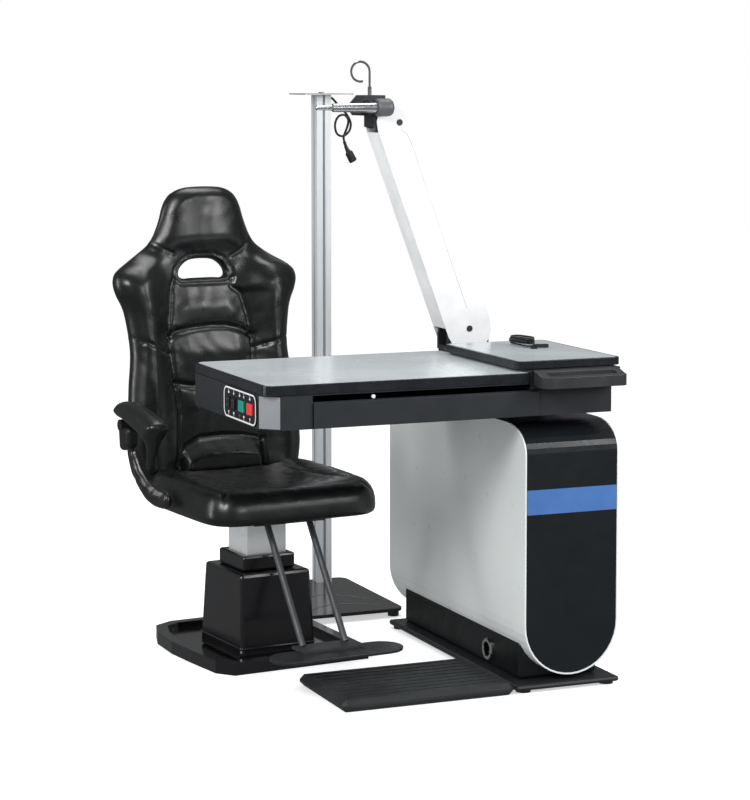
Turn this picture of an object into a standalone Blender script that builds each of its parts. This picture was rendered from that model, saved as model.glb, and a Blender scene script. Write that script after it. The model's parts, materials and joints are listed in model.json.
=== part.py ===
"""Ophthalmic refraction unit: an instrument table on a lift cabinet, with a sliding top, a balanced
arm for the refractor, a patient chair on a lift base and a projector column. Metres, +Z up.
Lengths are laid out from the near left corner of the table top, with +X to the right along the
front edge and +Y to the back, and the empty "unit" moves that corner off the world's origin."""

import math

import bmesh
import bpy
from mathutils import Matrix, Vector

# ---------------------------------------------------------------- driving dimensions
UNIT_X, UNIT_Y = -0.4034, -0.6680
GAP = 0.0003                        # clearance between pieces that touch

TABLE_LENGTH, TABLE_DEPTH, TABLE_HEIGHT = 0.950, 0.540, 0.800
TOP_THICK, EDGE_WIDE = 0.025, 0.008
BODY_LENGTH, BODY_BOTTOM, BODY_TOP = 0.9205, 0.692, 0.7745
BODY_FRONT, BODY_BACK = 0.004, 0.520
CORNER_CUT = 0.041                  # chamfer of the body's near left corner
DRAWER_LEFT, DRAWER_RIGHT, DRAWER_TOP = 0.121, 0.719, 0.754
SLOT_BOTTOM, SLOT_TOP = 0.7565, 0.7715

SLIDE_LEFT, SLIDE_RIGHT, SLIDE_FRONT, SLIDE_BACK = 0.670, 0.959, 0.024, 0.466
SLIDE_BOTTOM, SLIDE_TOP = 0.8058, 0.8260

CABINET_X, CABINET_HALF = 0.811, 0.130
CABINET_BOTTOM, CABINET_TOP = 0.035, 0.665
CABINET_DEPTH, CABINET_WALL = 0.857, 0.004
PORT_Y, PORT_Z = 0.222, 0.062       # cable port in the plinth's left side
ARC_Z = CABINET_BOTTOM + CABINET_HALF
NOSE_DEEP, NOSE_HIGH = 0.110, 0.068  # rounding of the cabinet's top front corner
PLINTH_LEFT, PLINTH_RIGHT, PLINTH_FRONT, PLINTH_BACK = 0.690, 0.906, 0.046, 0.770
BASE_LEFT, BASE_RIGHT, BASE_LOW, BASE_TOP = 0.6535, 0.9410, 0.0075, 0.0215

ARM_X, ARM_Y = 0.806, 0.642          # swing axis of the arm
PIVOT_Z, LINK_LONG, LINK_LEAN = 0.848, 0.594, math.radians(20.3)
LEVEL_OFFSET = -0.042                # second pivot of the parallelogram
ARM_HALF_WIDE, ARM_HALF_DEEP, ARM_WALL = 0.065, 0.042, 0.0025
HEAD_Y, HEAD_Z = 0.5680, 1.4450      # axis of the spindle

CHAIR_X, CHAIR_Y, CHAIR_TURN = 0.205, 0.630, math.radians(6.0)
SEAT_BOTTOM, SEAT_TOP, SEAT_HALF, SEAT_FRONT, SEAT_BACK = 0.400, 0.480, 0.245, -0.270, 0.208
BACK_LEAN, BACK_V, BACK_Z = math.radians(7.0), 0.222, 0.500
PAN_BOTTOM = 0.3845
PAD_U, PAD_HALF, PAD_FRONT, PAD_BACK, PIVOT_V, ELBOW_Z = -0.311, 0.0306, -0.083, 0.170, 0.150, 0.617

COLUMN_X, COLUMN_Y, COLUMN_SIDE, COLUMN_TOP = 0.662, 1.330, 0.045, 1.4735

# ---------------------------------------------------------------- scene set-up
for old in list(bpy.data.objects):
    bpy.data.objects.remove(old, do_unlink=True)

PARTS = bpy.data.collections.new("refraction_unit")
CUTTERS = bpy.data.collections.new("cutters")
for made in (PARTS, CUTTERS):
    bpy.context.scene.collection.children.link(made)


def empty(name, place, turn=0.0, parent=None):
    """An axis or a frame that other objects hang on."""
    frame = bpy.data.objects.new(name, None)
    PARTS.objects.link(frame)
    frame.location = place
    frame.rotation_euler = (0, 0, turn)
    frame.parent = parent
    return frame


UNIT = empty("unit", (UNIT_X, UNIT_Y, 0))
CHAIR = empty("chair", (CHAIR_X, CHAIR_Y, 0), CHAIR_TURN, UNIT)


def material(name, colour, roughness, metallic=0.0):
    made = bpy.data.materials.new(name)
    made.use_nodes = True
    shader = made.node_tree.nodes["Principled BSDF"]
    shader.inputs["Base Color"].default_value = (*colour, 1)
    shader.inputs["Roughness"].default_value = roughness
    shader.inputs["Metallic"].default_value = metallic
    return made


WHITE = ("white_shell", (0.72, 0.76, 0.74), 0.35)
LAMINATE = ("grey_laminate", (0.55, 0.60, 0.62), 0.30)
CHARCOAL = ("charcoal_steel", (0.045, 0.050, 0.055), 0.45)
BLACK = ("black_plastic", (0.012, 0.013, 0.015), 0.40)
GREY_METAL = ("grey_metal", (0.25, 0.26, 0.28), 0.40, 0.8)
CHROME = ("chrome", (0.75, 0.75, 0.76), 0.15, 1.0)
ALUMINIUM = ("aluminium", (0.65, 0.67, 0.69), 0.35, 1.0)
LEATHER = ("black_leather", (0.010, 0.010, 0.011), 0.30)
RUBBER = ("rubber", (0.020, 0.022, 0.023), 0.70)
STEEL = ("steel", (0.35, 0.36, 0.38), 0.40, 1.0)
GREEN = ("green_switch", (0.02, 0.45, 0.30), 0.30)
RED = ("red_switch", (0.70, 0.03, 0.04), 0.30)


# ---------------------------------------------------------------- building tools
def finish(obj, look=None, parent=UNIT, smooth=30):
    """Puts an object among the parts with its own material, or among the cutters without one."""
    for held in list(obj.users_collection):
        held.objects.unlink(obj)
    obj.parent = parent
    if look is None:
        CUTTERS.objects.link(obj)
        obj.hide_render = True
        obj.display_type = "WIRE"
        return obj
    PARTS.objects.link(obj)
    obj.data.materials.clear()
    obj.data.materials.append(material(obj.name + "_" + look[0], *look[1:]))
    if obj.type == "MESH" and smooth:
        obj.data.shade_smooth()
        obj.data.set_sharp_from_angle(angle=math.radians(smooth))
    return obj


def mesh_object(name, build):
    """A mesh object whose bmesh is filled in by build."""
    mesh = bpy.data.meshes.new(name)
    shape = bmesh.new()
    build(shape)
    shape.to_mesh(mesh)
    shape.free()
    return bpy.data.objects.new(name, mesh)


def bevel(obj, width, segments=2, angle=40):
    step = obj.modifiers.new("bevel", "BEVEL")
    step.width = width
    step.segments = segments
    step.limit_method = "ANGLE"
    step.angle_limit = math.radians(angle)
    return obj


def combine(obj, other, operation="DIFFERENCE"):
    """Cuts, joins or intersects obj with other, a hidden helper."""
    step = obj.modifiers.new(other.name, "BOOLEAN")
    step.operation = operation
    step.solver = "EXACT"
    step.object = other
    return obj


def box(name, low, high, look=None, edge=0.0, parent=UNIT, segments=2):
    """A block between two corners, with its origin at its middle."""
    low, high = Vector(low), Vector(high)
    size = high - low

    def build(shape):
        bmesh.ops.create_cube(shape, size=1, matrix=Matrix.Diagonal((*size, 1)))

    obj = finish(mesh_object(name, build), look, parent)
    obj.location = (low + high) / 2
    return bevel(obj, edge, segments) if edge else obj


TURNS = {"X": (0, math.pi / 2, 0), "Y": (-math.pi / 2, 0, 0), "Z": (0, 0, 0)}


def rod(name, centre, radius, length, axis="Z", look=None, parent=UNIT, sides=24, far=None):
    """A cylinder, or a cone where far gives the other radius, along one axis."""

    def build(shape):
        bmesh.ops.create_cone(shape, cap_ends=True, segments=sides, radius1=radius,
                              radius2=radius if far is None else far, depth=length)

    obj = finish(mesh_object(name, build), look, parent)
    obj.location = centre
    obj.rotation_euler = TURNS[axis]
    return obj


def meshed(curve):
    """The curve as a mesh object with welded caps. The curve is removed."""
    bpy.context.scene.collection.objects.link(curve)
    graph = bpy.context.evaluated_depsgraph_get()
    mesh = bpy.data.meshes.new_from_object(curve.evaluated_get(graph))
    shape = bmesh.new()
    shape.from_mesh(mesh)
    bmesh.ops.remove_doubles(shape, verts=shape.verts, dist=0.00001)
    shape.to_mesh(mesh)
    shape.free()
    name, place = curve.name, curve.matrix_world.copy()
    bpy.data.objects.remove(curve, do_unlink=True)
    obj = bpy.data.objects.new(name, mesh)
    obj.matrix_world = place
    return obj


# A plate's outline lies in one plane: its axis is the direction it is thick in.
PLANES = {
    "Z": Matrix.Identity(3),
    "Y": Matrix(((1, 0, 0), (0, 0, -1), (0, 1, 0))),
    "X": Matrix(((0, 0, 1), (1, 0, 0), (0, 1, 0))),
}


def plate(name, outline, low, high, axis="Z", look=None, edge=0.0, parent=UNIT, holes=(), segments=2):
    """A flat outline made thick from low to high along an axis. Y's outline is (x, z), X's is (y, z)."""
    curve = bpy.data.curves.new(name, "CURVE")
    curve.dimensions = "2D"
    curve.fill_mode = "BOTH"
    curve.extrude = (high - low) / 2
    for ring in (outline, *holes):
        line = curve.splines.new("POLY")
        line.points.add(len(ring) - 1)
        line.use_cyclic_u = True
        for point, (a, b) in zip(line.points, ring):
            point.co = (a, b, 0, 1)
    obj = bpy.data.objects.new(name, curve)
    middle = (low + high) / 2
    shift = {"Z": (0, 0, middle), "Y": (0, middle, 0), "X": (middle, 0, 0)}[axis]
    obj.matrix_world = Matrix.Translation(shift) @ PLANES[axis].to_4x4()
    obj = finish(meshed(obj), look, parent)
    return bevel(obj, edge, segments) if edge else obj


def arc(a, b, radius, start, end, steps=8, squash=1.0):
    """Points along an arc round (a, b), from one angle to another in degrees."""
    angles = [math.radians(start + (end - start) * i / steps) for i in range(steps + 1)]
    return [(a + radius * math.cos(t), b + radius * squash * math.sin(t)) for t in angles]


def rounded(left, low, right, high, radius, steps=6):
    """A rectangle's outline with round corners."""
    points = []
    for a, b, start in ((right - radius, low + radius, -90), (right - radius, high - radius, 0),
                        (left + radius, high - radius, 90), (left + radius, low + radius, 180)):
        points += arc(a, b, radius, start, start + 90, steps)
    return points


def smooth_route(points, spacing):
    """Even points along a smooth curve through the given ones."""
    points = [Vector(p) for p in points]
    ends = [points[0] * 2 - points[1]] + points + [points[-1] * 2 - points[-2]]
    fine = []
    for a, b, c, d in zip(ends, ends[1:], ends[2:], ends[3:]):
        for i in range(24):
            t = i / 24
            fine.append(((2 * b) + (c - a) * t + (2 * a - 5 * b + 4 * c - d) * t ** 2
                         + (3 * b - a - 3 * c + d) * t ** 3) / 2)
    fine.append(points[-1])
    total = sum((b - a).length for a, b in zip(fine, fine[1:]))
    count = max(2, round(total / spacing))
    route, run, step = [fine[0]], 0.0, total / count
    for a, b in zip(fine, fine[1:]):
        run += (b - a).length
        if run >= step * len(route) and len(route) < count:
            route.append(b)
    return route + [fine[-1]]


def wire(name, route, radius, look=None, parent=UNIT, resolution=2):
    """A round bar or cord along a route of points."""
    curve = bpy.data.curves.new(name, "CURVE")
    curve.dimensions = "3D"
    curve.bevel_depth = radius
    curve.bevel_resolution = resolution
    curve.use_fill_caps = True
    line = curve.splines.new("POLY")
    line.points.add(len(route) - 1)
    for point, place in zip(line.points, route):
        point.co = (*place, 1)
    obj = bpy.data.objects.new(name, curve)
    return finish(meshed(obj), look, parent, smooth=50)


def turned(name, profile, centre, axis="Z", look=None, parent=UNIT, steps=24):
    """A turned piece from (radius, height) points that run from its top to its bottom."""

    def build(shape):
        row = [shape.verts.new((max(r, 0.0), 0, h)) for r, h in profile]
        for a, b in zip(row, row[1:]):
            shape.edges.new((a, b))

    obj = finish(mesh_object(name, build), look, parent, smooth=0)
    turn = obj.modifiers.new("turn", "SCREW")
    turn.steps = steps
    turn.render_steps = steps
    turn.use_merge_vertices = True
    turn.merge_threshold = 0.00001
    turn.use_smooth_shade = True
    obj.location = centre
    obj.rotation_euler = TURNS[axis]
    return obj


# ---------------------------------------------------------------- floor-standing base
def u_outline(half, top, steps=20):
    """The cabinet's section in X and Z: straight sides on a round bottom."""
    bottom = arc(CABINET_X, ARC_Z, half, 180, 360, steps)
    return [(CABINET_X - half, top)] + bottom + [(CABINET_X + half, top)]


def base():
    base_plate = box("base_plate", (BASE_LEFT, -0.014, BASE_LOW), (BASE_RIGHT, 0.800, BASE_TOP), CHARCOAL, 0.0065)
    for i, (x, y) in enumerate(((0.686, 0.016), (0.917, 0.016), (0.678, 0.772), (0.917, 0.772))):
        foot = rod(f"base_foot_{i}", (x, y, BASE_LOW / 2 + 0.001), 0.019, BASE_LOW + 0.002, sides=16)
        combine(base_plate, foot, "UNION")
    plinth = box("plinth", (PLINTH_LEFT, PLINTH_FRONT, BASE_TOP + GAP),
                 (PLINTH_RIGHT, PLINTH_BACK, 0.1165), BLACK, 0.008)
    combine(plinth, rod("plinth_groove", (CABINET_X, 0.4, ARC_Z), CABINET_HALF + GAP, 1.2, "Y", sides=80))
    combine(plinth, rod("port_hole", (PLINTH_LEFT, PORT_Y, PORT_Z), 0.0205, 0.060, "X"))
    ring = turned("port_ring", [(0.0195, 0.0085), (0.0265, 0.0085), (0.0290, 0.0060), (0.0290, 0.0),
                                (0.0202, 0.0), (0.0202, -0.0100), (0.0180, -0.0100), (0.0180, 0.0070),
                                (0.0195, 0.0085)],
                  (PLINTH_LEFT - GAP, PORT_Y, PORT_Z), look=CHROME)
    ring.rotation_euler = (0, -math.pi / 2, 0)
    platform = box("foot_platform", (0.190, -0.015, 0.0), (0.650, 0.290, 0.030), RUBBER, 0.012, segments=1)
    for i in range(9):
        y = 0.020 + i * 0.0295
        groove = box(f"platform_groove_{i}", (0.215, y, 0.0285), (0.630, y + 0.008, 0.040))
        combine(platform, groove)


# ---------------------------------------------------------------- cabinet
def nose_outline(inset):
    """The cabinet's side view in Y and Z: upright front, round top front corner."""
    nose = arc(NOSE_DEEP, CABINET_TOP - NOSE_HIGH, NOSE_DEEP - inset, 180, 90, 8,
               (NOSE_HIGH - inset) / (NOSE_DEEP - inset))
    return nose + [(CABINET_DEPTH, CABINET_TOP - inset)]


def cabinet():
    inner = CABINET_HALF - CABINET_WALL
    shell = plate("cabinet_shell", u_outline(CABINET_HALF, CABINET_TOP), 0, CABINET_DEPTH, "Y", WHITE)
    combine(shell, plate("shell_hollow", u_outline(inner, CABINET_TOP + 0.1), -0.1, 1.0, "Y"))
    side_view = nose_outline(0.0) + [(CABINET_DEPTH, 0.0), (0.0, 0.0)]
    combine(shell, plate("shell_side_view", side_view, 0.5, 1.1, "X"), "INTERSECT")
    fit = inner - GAP * 2
    band = nose_outline(0.001)[:-1] + [(NOSE_DEEP + 0.020, CABINET_TOP - 0.001)]
    band += [(NOSE_DEEP + 0.020, CABINET_TOP - 0.004)] + nose_outline(0.004)[-2::-1]
    band += [(0.004, 0.0), (0.001, 0.0)]
    front = plate("cabinet_front", band, CABINET_X - fit, CABINET_X + fit, "X", BLACK)
    combine(front, plate("front_section", u_outline(fit, CABINET_TOP + 0.1), -0.1, 0.3, "Y"), "INTERSECT")
    plate("cabinet_rear", u_outline(fit, CABINET_TOP - 0.0045), CABINET_DEPTH - 0.005,
          CABINET_DEPTH - 0.001, "Y", BLACK)
    lid_low, lid_high = CABINET_TOP - 0.004, CABINET_TOP - 0.001
    lid = box("cabinet_top", (CABINET_X - fit, NOSE_DEEP + 0.020 + GAP, lid_low),
              (CABINET_X + fit, CABINET_DEPTH - 0.001, lid_high), BLACK)
    combine(lid, box("lift_hole", (0.760, 0.214, 0.6), (0.862, 0.316, 0.7)))
    outer = box("lift_outer_column", (0.771, 0.225, 0.095), (0.851, 0.305, 0.640), STEEL, 0.003)
    combine(outer, box("outer_bore", (0.775, 0.229, 0.110), (0.847, 0.301, 0.700)))
    shoe = box("column_shoe", (0.731, 0.160, 0.076), (0.891, 0.700, 0.0952))
    combine(outer, shoe, "UNION")
    box("power_supply", (0.746, 0.430, 0.0952 + GAP), (0.876, 0.640, 0.210), GREY_METAL, 0.003)


# ---------------------------------------------------------------- instrument table
def body_outline(inset=0.0):
    """The table body's plan, with its near left corner cut off."""
    cut = CORNER_CUT + inset * 0.4
    return [(inset, BODY_FRONT + cut), (cut, BODY_FRONT + inset), (BODY_LENGTH - inset, BODY_FRONT + inset),
            (BODY_LENGTH - inset, BODY_BACK - inset), (inset, BODY_BACK - inset)]


def table():
    inner = box("lift_inner_column", (0.777, 0.231, 0.160), (0.845, 0.299, BODY_BOTTOM - GAP), ALUMINIUM, 0.002)
    combine(inner, box("inner_bore", (0.783, 0.237, 0.0), (0.839, 0.293, 0.670)))
    frame = plate("table_frame", body_outline(), BODY_BOTTOM, BODY_TOP, "Z", CHARCOAL)
    combine(frame, plate("frame_hollow", body_outline(0.003), BODY_BOTTOM + 0.004, BODY_TOP + 0.1, "Z"))
    mouth = box("drawer_mouth", (DRAWER_LEFT, -0.010, BODY_BOTTOM + 0.0035),
                (DRAWER_RIGHT, 0.020, SLOT_BOTTOM - 0.0045))
    combine(frame, mouth)
    combine(frame, box("front_slot", (DRAWER_LEFT, -0.010, SLOT_BOTTOM), (1.0, 0.020, SLOT_TOP)))
    combine(frame, box("rear_slot", (DRAWER_LEFT, BODY_BACK - 0.020, SLOT_BOTTOM), (1.0, 0.6, SLOT_TOP)))
    combine(frame, box("panel_recess", (-0.010, 0.066, 0.7010), (0.012, 0.275, 0.7670)))
    top_low = TABLE_HEIGHT - TOP_THICK
    inside = rounded(EDGE_WIDE, EDGE_WIDE, TABLE_LENGTH - EDGE_WIDE, TABLE_DEPTH - EDGE_WIDE, 0.020, 4)
    plate("table_top", inside, top_low, TABLE_HEIGHT, "Z", LAMINATE)
    around = rounded(0, 0, TABLE_LENGTH, TABLE_DEPTH, 0.026, 5)
    within = rounded(EDGE_WIDE - GAP, EDGE_WIDE - GAP, TABLE_LENGTH - EDGE_WIDE + GAP,
                     TABLE_DEPTH - EDGE_WIDE + GAP, 0.020, 4)
    plate("top_edging", around, top_low + 0.0003, TABLE_HEIGHT - 0.0005, "Z", BLACK, 0.006, holes=(within,),
          segments=2).modifiers["bevel"].angle_limit = math.radians(60)
    diagonal = CORNER_CUT * math.sqrt(2) / 2 - 0.0015
    corner = box("corner_plate", (-diagonal, -0.003, -0.0385), (diagonal, 0, 0.0385), GREY_METAL, 0.001)
    corner.location = (CORNER_CUT / 2 - 0.0013, BODY_FRONT + CORNER_CUT / 2 - 0.0013, 0.7335)
    corner.rotation_euler = (0, 0, math.radians(-45))


SWITCHES = (("left_rocker", 0.251, 0.024, BLACK), ("right_rocker", 0.214, 0.024, BLACK),
            ("green_switch", 0.155, 0.036, GREEN), ("red_switch", 0.096, 0.036, RED))
KEY_LOW, KEY_HIGH = 0.7200, 0.7480


def control_panel():
    outline = rounded(0.055, 0.6955, 0.288, 0.7725, 0.022, 5)
    holes = [rounded(y - w / 2 - GAP * 2, KEY_LOW - GAP * 2, y + w / 2 + GAP * 2, KEY_HIGH + GAP * 2, 0.003, 2)
             for _, y, w, _ in SWITCHES]
    plate("control_panel", outline, -0.0035, -GAP, "X", BLACK, holes=holes)
    for name, y, wide, look in SWITCHES:
        box(name, (-0.0080, y - wide / 2, KEY_LOW), (0.0040, y + wide / 2, KEY_HIGH), look, 0.002)


def drawer():
    low, high = BODY_BOTTOM + 0.0045, 0.7470
    tray = box("drawer_box", (DRAWER_LEFT + 0.003, 0.0025, low), (DRAWER_RIGHT - 0.003, 0.440, high), CHARCOAL)
    combine(tray, box("drawer_hollow", (DRAWER_LEFT + 0.007, 0.0065, low + 0.004),
                      (DRAWER_RIGHT - 0.007, 0.436, high + 0.02)))
    box("drawer_front", (DRAWER_LEFT + 0.001, -0.0010 - 0.0005, BODY_BOTTOM + 0.0010),
        (DRAWER_RIGHT - 0.001, 0.0025 - GAP, DRAWER_TOP), CHARCOAL, 0.001)


# ---------------------------------------------------------------- sliding instrument top
def slide():
    left, right = SLIDE_LEFT + 0.020, SLIDE_RIGHT - 0.020
    low, high = TABLE_HEIGHT + 0.0010, SLIDE_BOTTOM - GAP
    outside, behind = -0.0065, TABLE_DEPTH + 0.0065
    lip_low, lip_high = SLOT_BOTTOM + 0.0030, SLOT_BOTTOM + 0.0070
    profile = [(0.018, lip_low), (outside, lip_low), (outside, high), (behind, high), (behind, lip_low),
               (BODY_BACK - 0.014, lip_low), (BODY_BACK - 0.014, lip_high), (behind - 0.004, lip_high),
               (behind - 0.004, low), (outside + 0.004, low), (outside + 0.004, lip_high), (0.018, lip_high)]
    plate("slide_carriage", profile, left, right, "X", STEEL)
    edge = EDGE_WIDE
    board = rounded(SLIDE_LEFT + edge, SLIDE_FRONT + edge, SLIDE_RIGHT - edge, SLIDE_BACK - edge, 0.012, 3)
    slab = plate("slide_board", board, SLIDE_BOTTOM, SLIDE_TOP, "Z", LAMINATE)
    combine(slab, rod("gland_hole", (*GLAND, SLIDE_TOP), 0.0063, 0.080, sides=16))
    around = rounded(SLIDE_LEFT, SLIDE_FRONT, SLIDE_RIGHT, SLIDE_BACK, 0.018, 4)
    within = rounded(SLIDE_LEFT + edge - GAP, SLIDE_FRONT + edge - GAP, SLIDE_RIGHT - edge + GAP,
                     SLIDE_BACK - edge + GAP, 0.012, 3)
    plate("slide_edging", around, SLIDE_BOTTOM + GAP, SLIDE_TOP - 0.0005, "Z", BLACK, 0.005, holes=(within,)
          ).modifiers["bevel"].angle_limit = math.radians(60)
    pull_handle(outside - GAP)


def pull_handle(back):
    """A tray-shaped grip on the front of the carriage: side arms, a round bar and a finger opening."""
    left, right, front, bar = 0.6990, 0.9310, -0.0690, 0.0230
    outer = [(left, back)] + arc(left + 0.030, front + 0.030, 0.030, 180, 270, 6)
    outer += arc(right - 0.018, front + 0.018, 0.018, 270, 360, 5) + [(right, back)]
    hole = rounded(left + 0.024, front + bar, right - 0.018, back - 0.0140, 0.008, 3)
    grip = plate("pull_handle", outer, 0.7660, 0.8120, "Z", BLACK, holes=(hole,))
    slope = [(back + 0.02, 0.7735), (-0.050, 0.7640), (-0.10, 0.7640), (-0.10, 0.7920), (-0.050, 0.7940),
             (-0.030, 0.8000), (back + 0.02, 0.8110)]
    combine(grip, plate("handle_profile", slope, 0.6, 1.0, "X"), "INTERSECT")
    bevel(grip, 0.0045, 2, 50)


# ---------------------------------------------------------------- instrument lead on the slide
GLAND = (0.836, 0.270)
LEAD_RADIUS = 0.0025
HANK_FROM, HANK_TO = Vector((0.8420, 0.2980)), Vector((0.8290, 0.3900))
HANK_HALF, HANK_LOW, HANK_HIGH = 0.018, SLIDE_TOP + 0.0010, SLIDE_TOP + 0.0230


def lead():
    turned("cord_gland", [(0.0028, 0.0060), (0.0070, 0.0060), (0.0090, 0.0035), (0.0090, GAP),
                          (0.0060, GAP), (0.0060, -0.0150), (0.0028, -0.0150), (0.0028, 0.0060)],
           (*GLAND, SLIDE_TOP), look=BLACK, steps=16)
    along = (HANK_TO - HANK_FROM).normalized()
    across = Vector((-along.y, along.x))
    near, far = HANK_FROM + along * HANK_HALF, HANK_TO - along * HANK_HALF
    start = math.degrees(math.atan2(across.y, across.x))
    outline = arc(near.x, near.y, HANK_HALF * 0.6, start, start + 180, 8)
    outline += arc(far.x, far.y, HANK_HALF, start + 180, start + 360, 8)
    plate("lead_hank", outline, HANK_LOW, HANK_HIGH, "Z", RUBBER, 0.003)
    entry = HANK_FROM + along * (HANK_HALF * 0.4 - 0.0010)
    height = (HANK_LOW + HANK_HIGH) / 2
    rise = SLIDE_TOP + 0.0063
    route = [(*GLAND, rise), (*GLAND, rise + 0.006), (GLAND[0] + 0.001, GLAND[1] + 0.006, rise + 0.0125),
             (GLAND[0] - 0.003, GLAND[1] + 0.016, rise + 0.0125), (entry.x, entry.y - 0.0005, height)]
    wire("lamp_lead", smooth_route(route, 0.006), LEAD_RADIUS, RUBBER)
    tail = box("lead_plug", (-0.0175, -0.0050, -0.0045), (0.0175, 0.0050, 0.0045), BLACK, 0.0015)
    tail.location = (0.8620, 0.2760, SLIDE_TOP + 0.0060)
    tail.rotation_euler = (0, 0, math.radians(-18))


# ---------------------------------------------------------------- balanced arm
def along_arm(distance, across=0.0, base_x=ARM_X):
    """(x, z) of a point on the arm: distance up from the lower pivot, across to the right."""
    lean = LINK_LEAN
    return (base_x - math.sin(lean) * distance + math.cos(lean) * across,
            PIVOT_Z + math.cos(lean) * distance + math.sin(lean) * across)


def arm_outline(half, steps=8):
    """Stadium round the two main pivots, in X and Z."""
    angle = math.degrees(LINK_LEAN)
    top, bottom = along_arm(LINK_LONG), along_arm(0)
    return (arc(*top, half, angle, angle + 180, steps)
            + arc(*bottom, half, angle + 180, angle + 360, steps))


def link(name, base_x, low_y, high_y):
    """One bar of the parallelogram, with an eye at each end."""
    angle = math.degrees(LINK_LEAN)
    top, bottom = along_arm(LINK_LONG, base_x=base_x), along_arm(0, base_x=base_x)
    outline = arc(*top, 0.012, angle, angle + 180, 6) + arc(*bottom, 0.012, angle + 180, angle + 360, 6)
    eyes = [arc(*place, 0.0058, 0, 360 - 360 / 16, 15) for place in (top, bottom)]
    plate(name, outline, low_y, high_y, "Y", STEEL, holes=eyes)


def cheeks(name, outline, look, pins):
    """Two side plates joined by pins: the shape of the yoke and of the neck."""
    near = plate(name, outline, ARM_Y - 0.036, ARM_Y - 0.026, "Y", look)
    far = plate(name + "_far_cheek", outline, ARM_Y + 0.026, ARM_Y + 0.036, "Y")
    combine(near, far, "UNION")
    for i, (x, z) in enumerate(pins):
        combine(near, rod(f"{name}_pin_{i}", (x, ARM_Y, z), 0.0050, 0.066, "Y", sides=16), "UNION")
    return near


def arm():
    bracket = box("arm_bracket", (0.756, BODY_BACK + GAP, 0.7080), (0.856, 0.690, 0.7440), BLACK, 0.003)
    combine(bracket, rod("bracket_post", (ARM_X, ARM_Y, 0.7565), 0.036, 0.065, sides=32), "UNION")
    pins = ((ARM_X, PIVOT_Z), (ARM_X + LEVEL_OFFSET, PIVOT_Z))
    yoke_low = 0.7893
    outline = [(0.745, yoke_low), (0.866, yoke_low), (0.866, 0.815)] + arc(ARM_X, PIVOT_Z, 0.026, 0, 90, 4)
    outline += [(0.766, PIVOT_Z + 0.016), (0.750, PIVOT_Z + 0.006), (0.745, 0.830)]
    yoke = cheeks("arm_yoke", outline, BLACK, pins)
    combine(yoke, rod("yoke_disc", (ARM_X, ARM_Y, yoke_low + 0.006), 0.0355, 0.012, sides=32), "UNION")
    combine(yoke, box("yoke_floor", (0.745, ARM_Y - 0.030, yoke_low), (0.866, ARM_Y + 0.030, yoke_low + 0.012)),
            "UNION")
    link("main_link", ARM_X, ARM_Y - 0.022, ARM_Y - 0.004)
    link("level_link", ARM_X + LEVEL_OFFSET, ARM_Y + 0.004, ARM_Y + 0.022)
    covers()
    head()


def covers():
    """Two moulded half shells over the links, open where the yoke and the neck come out."""
    outer = arm_outline(ARM_HALF_WIDE)
    inner = arm_outline(ARM_HALF_WIDE - ARM_WALL)
    foot = along_arm(0)
    top = along_arm(LINK_LONG)
    lean = math.degrees(LINK_LEAN)
    lower = [along_arm(0.040, -0.1), along_arm(0.020, -0.050), (foot[0], foot[1]), along_arm(0.026, 0.058),
             along_arm(0.026, 0.1), along_arm(-0.2, 0.1), along_arm(-0.2, -0.1)]
    upper = [along_arm(LINK_LONG - 0.005, -0.12), along_arm(LINK_LONG - 0.005, -0.050), top]
    upper += arc(*top, 0.12, lean + 55, lean + 150, 4)
    for name, side in (("arm_cover_front", -1), ("arm_cover_rear", 1)):
        face, middle = ARM_Y + side * ARM_HALF_DEEP, ARM_Y + side * GAP
        within, beyond = face - side * ARM_WALL, middle - side * 0.010
        cover = plate(name, outer, min(face, middle), max(face, middle), "Y", WHITE)
        for cut, outline in (("hollow", inner), ("foot_opening", lower), ("head_opening", upper)):
            combine(cover, plate(f"{name}_{cut}", outline, min(within, beyond), max(within, beyond), "Y"))


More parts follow.
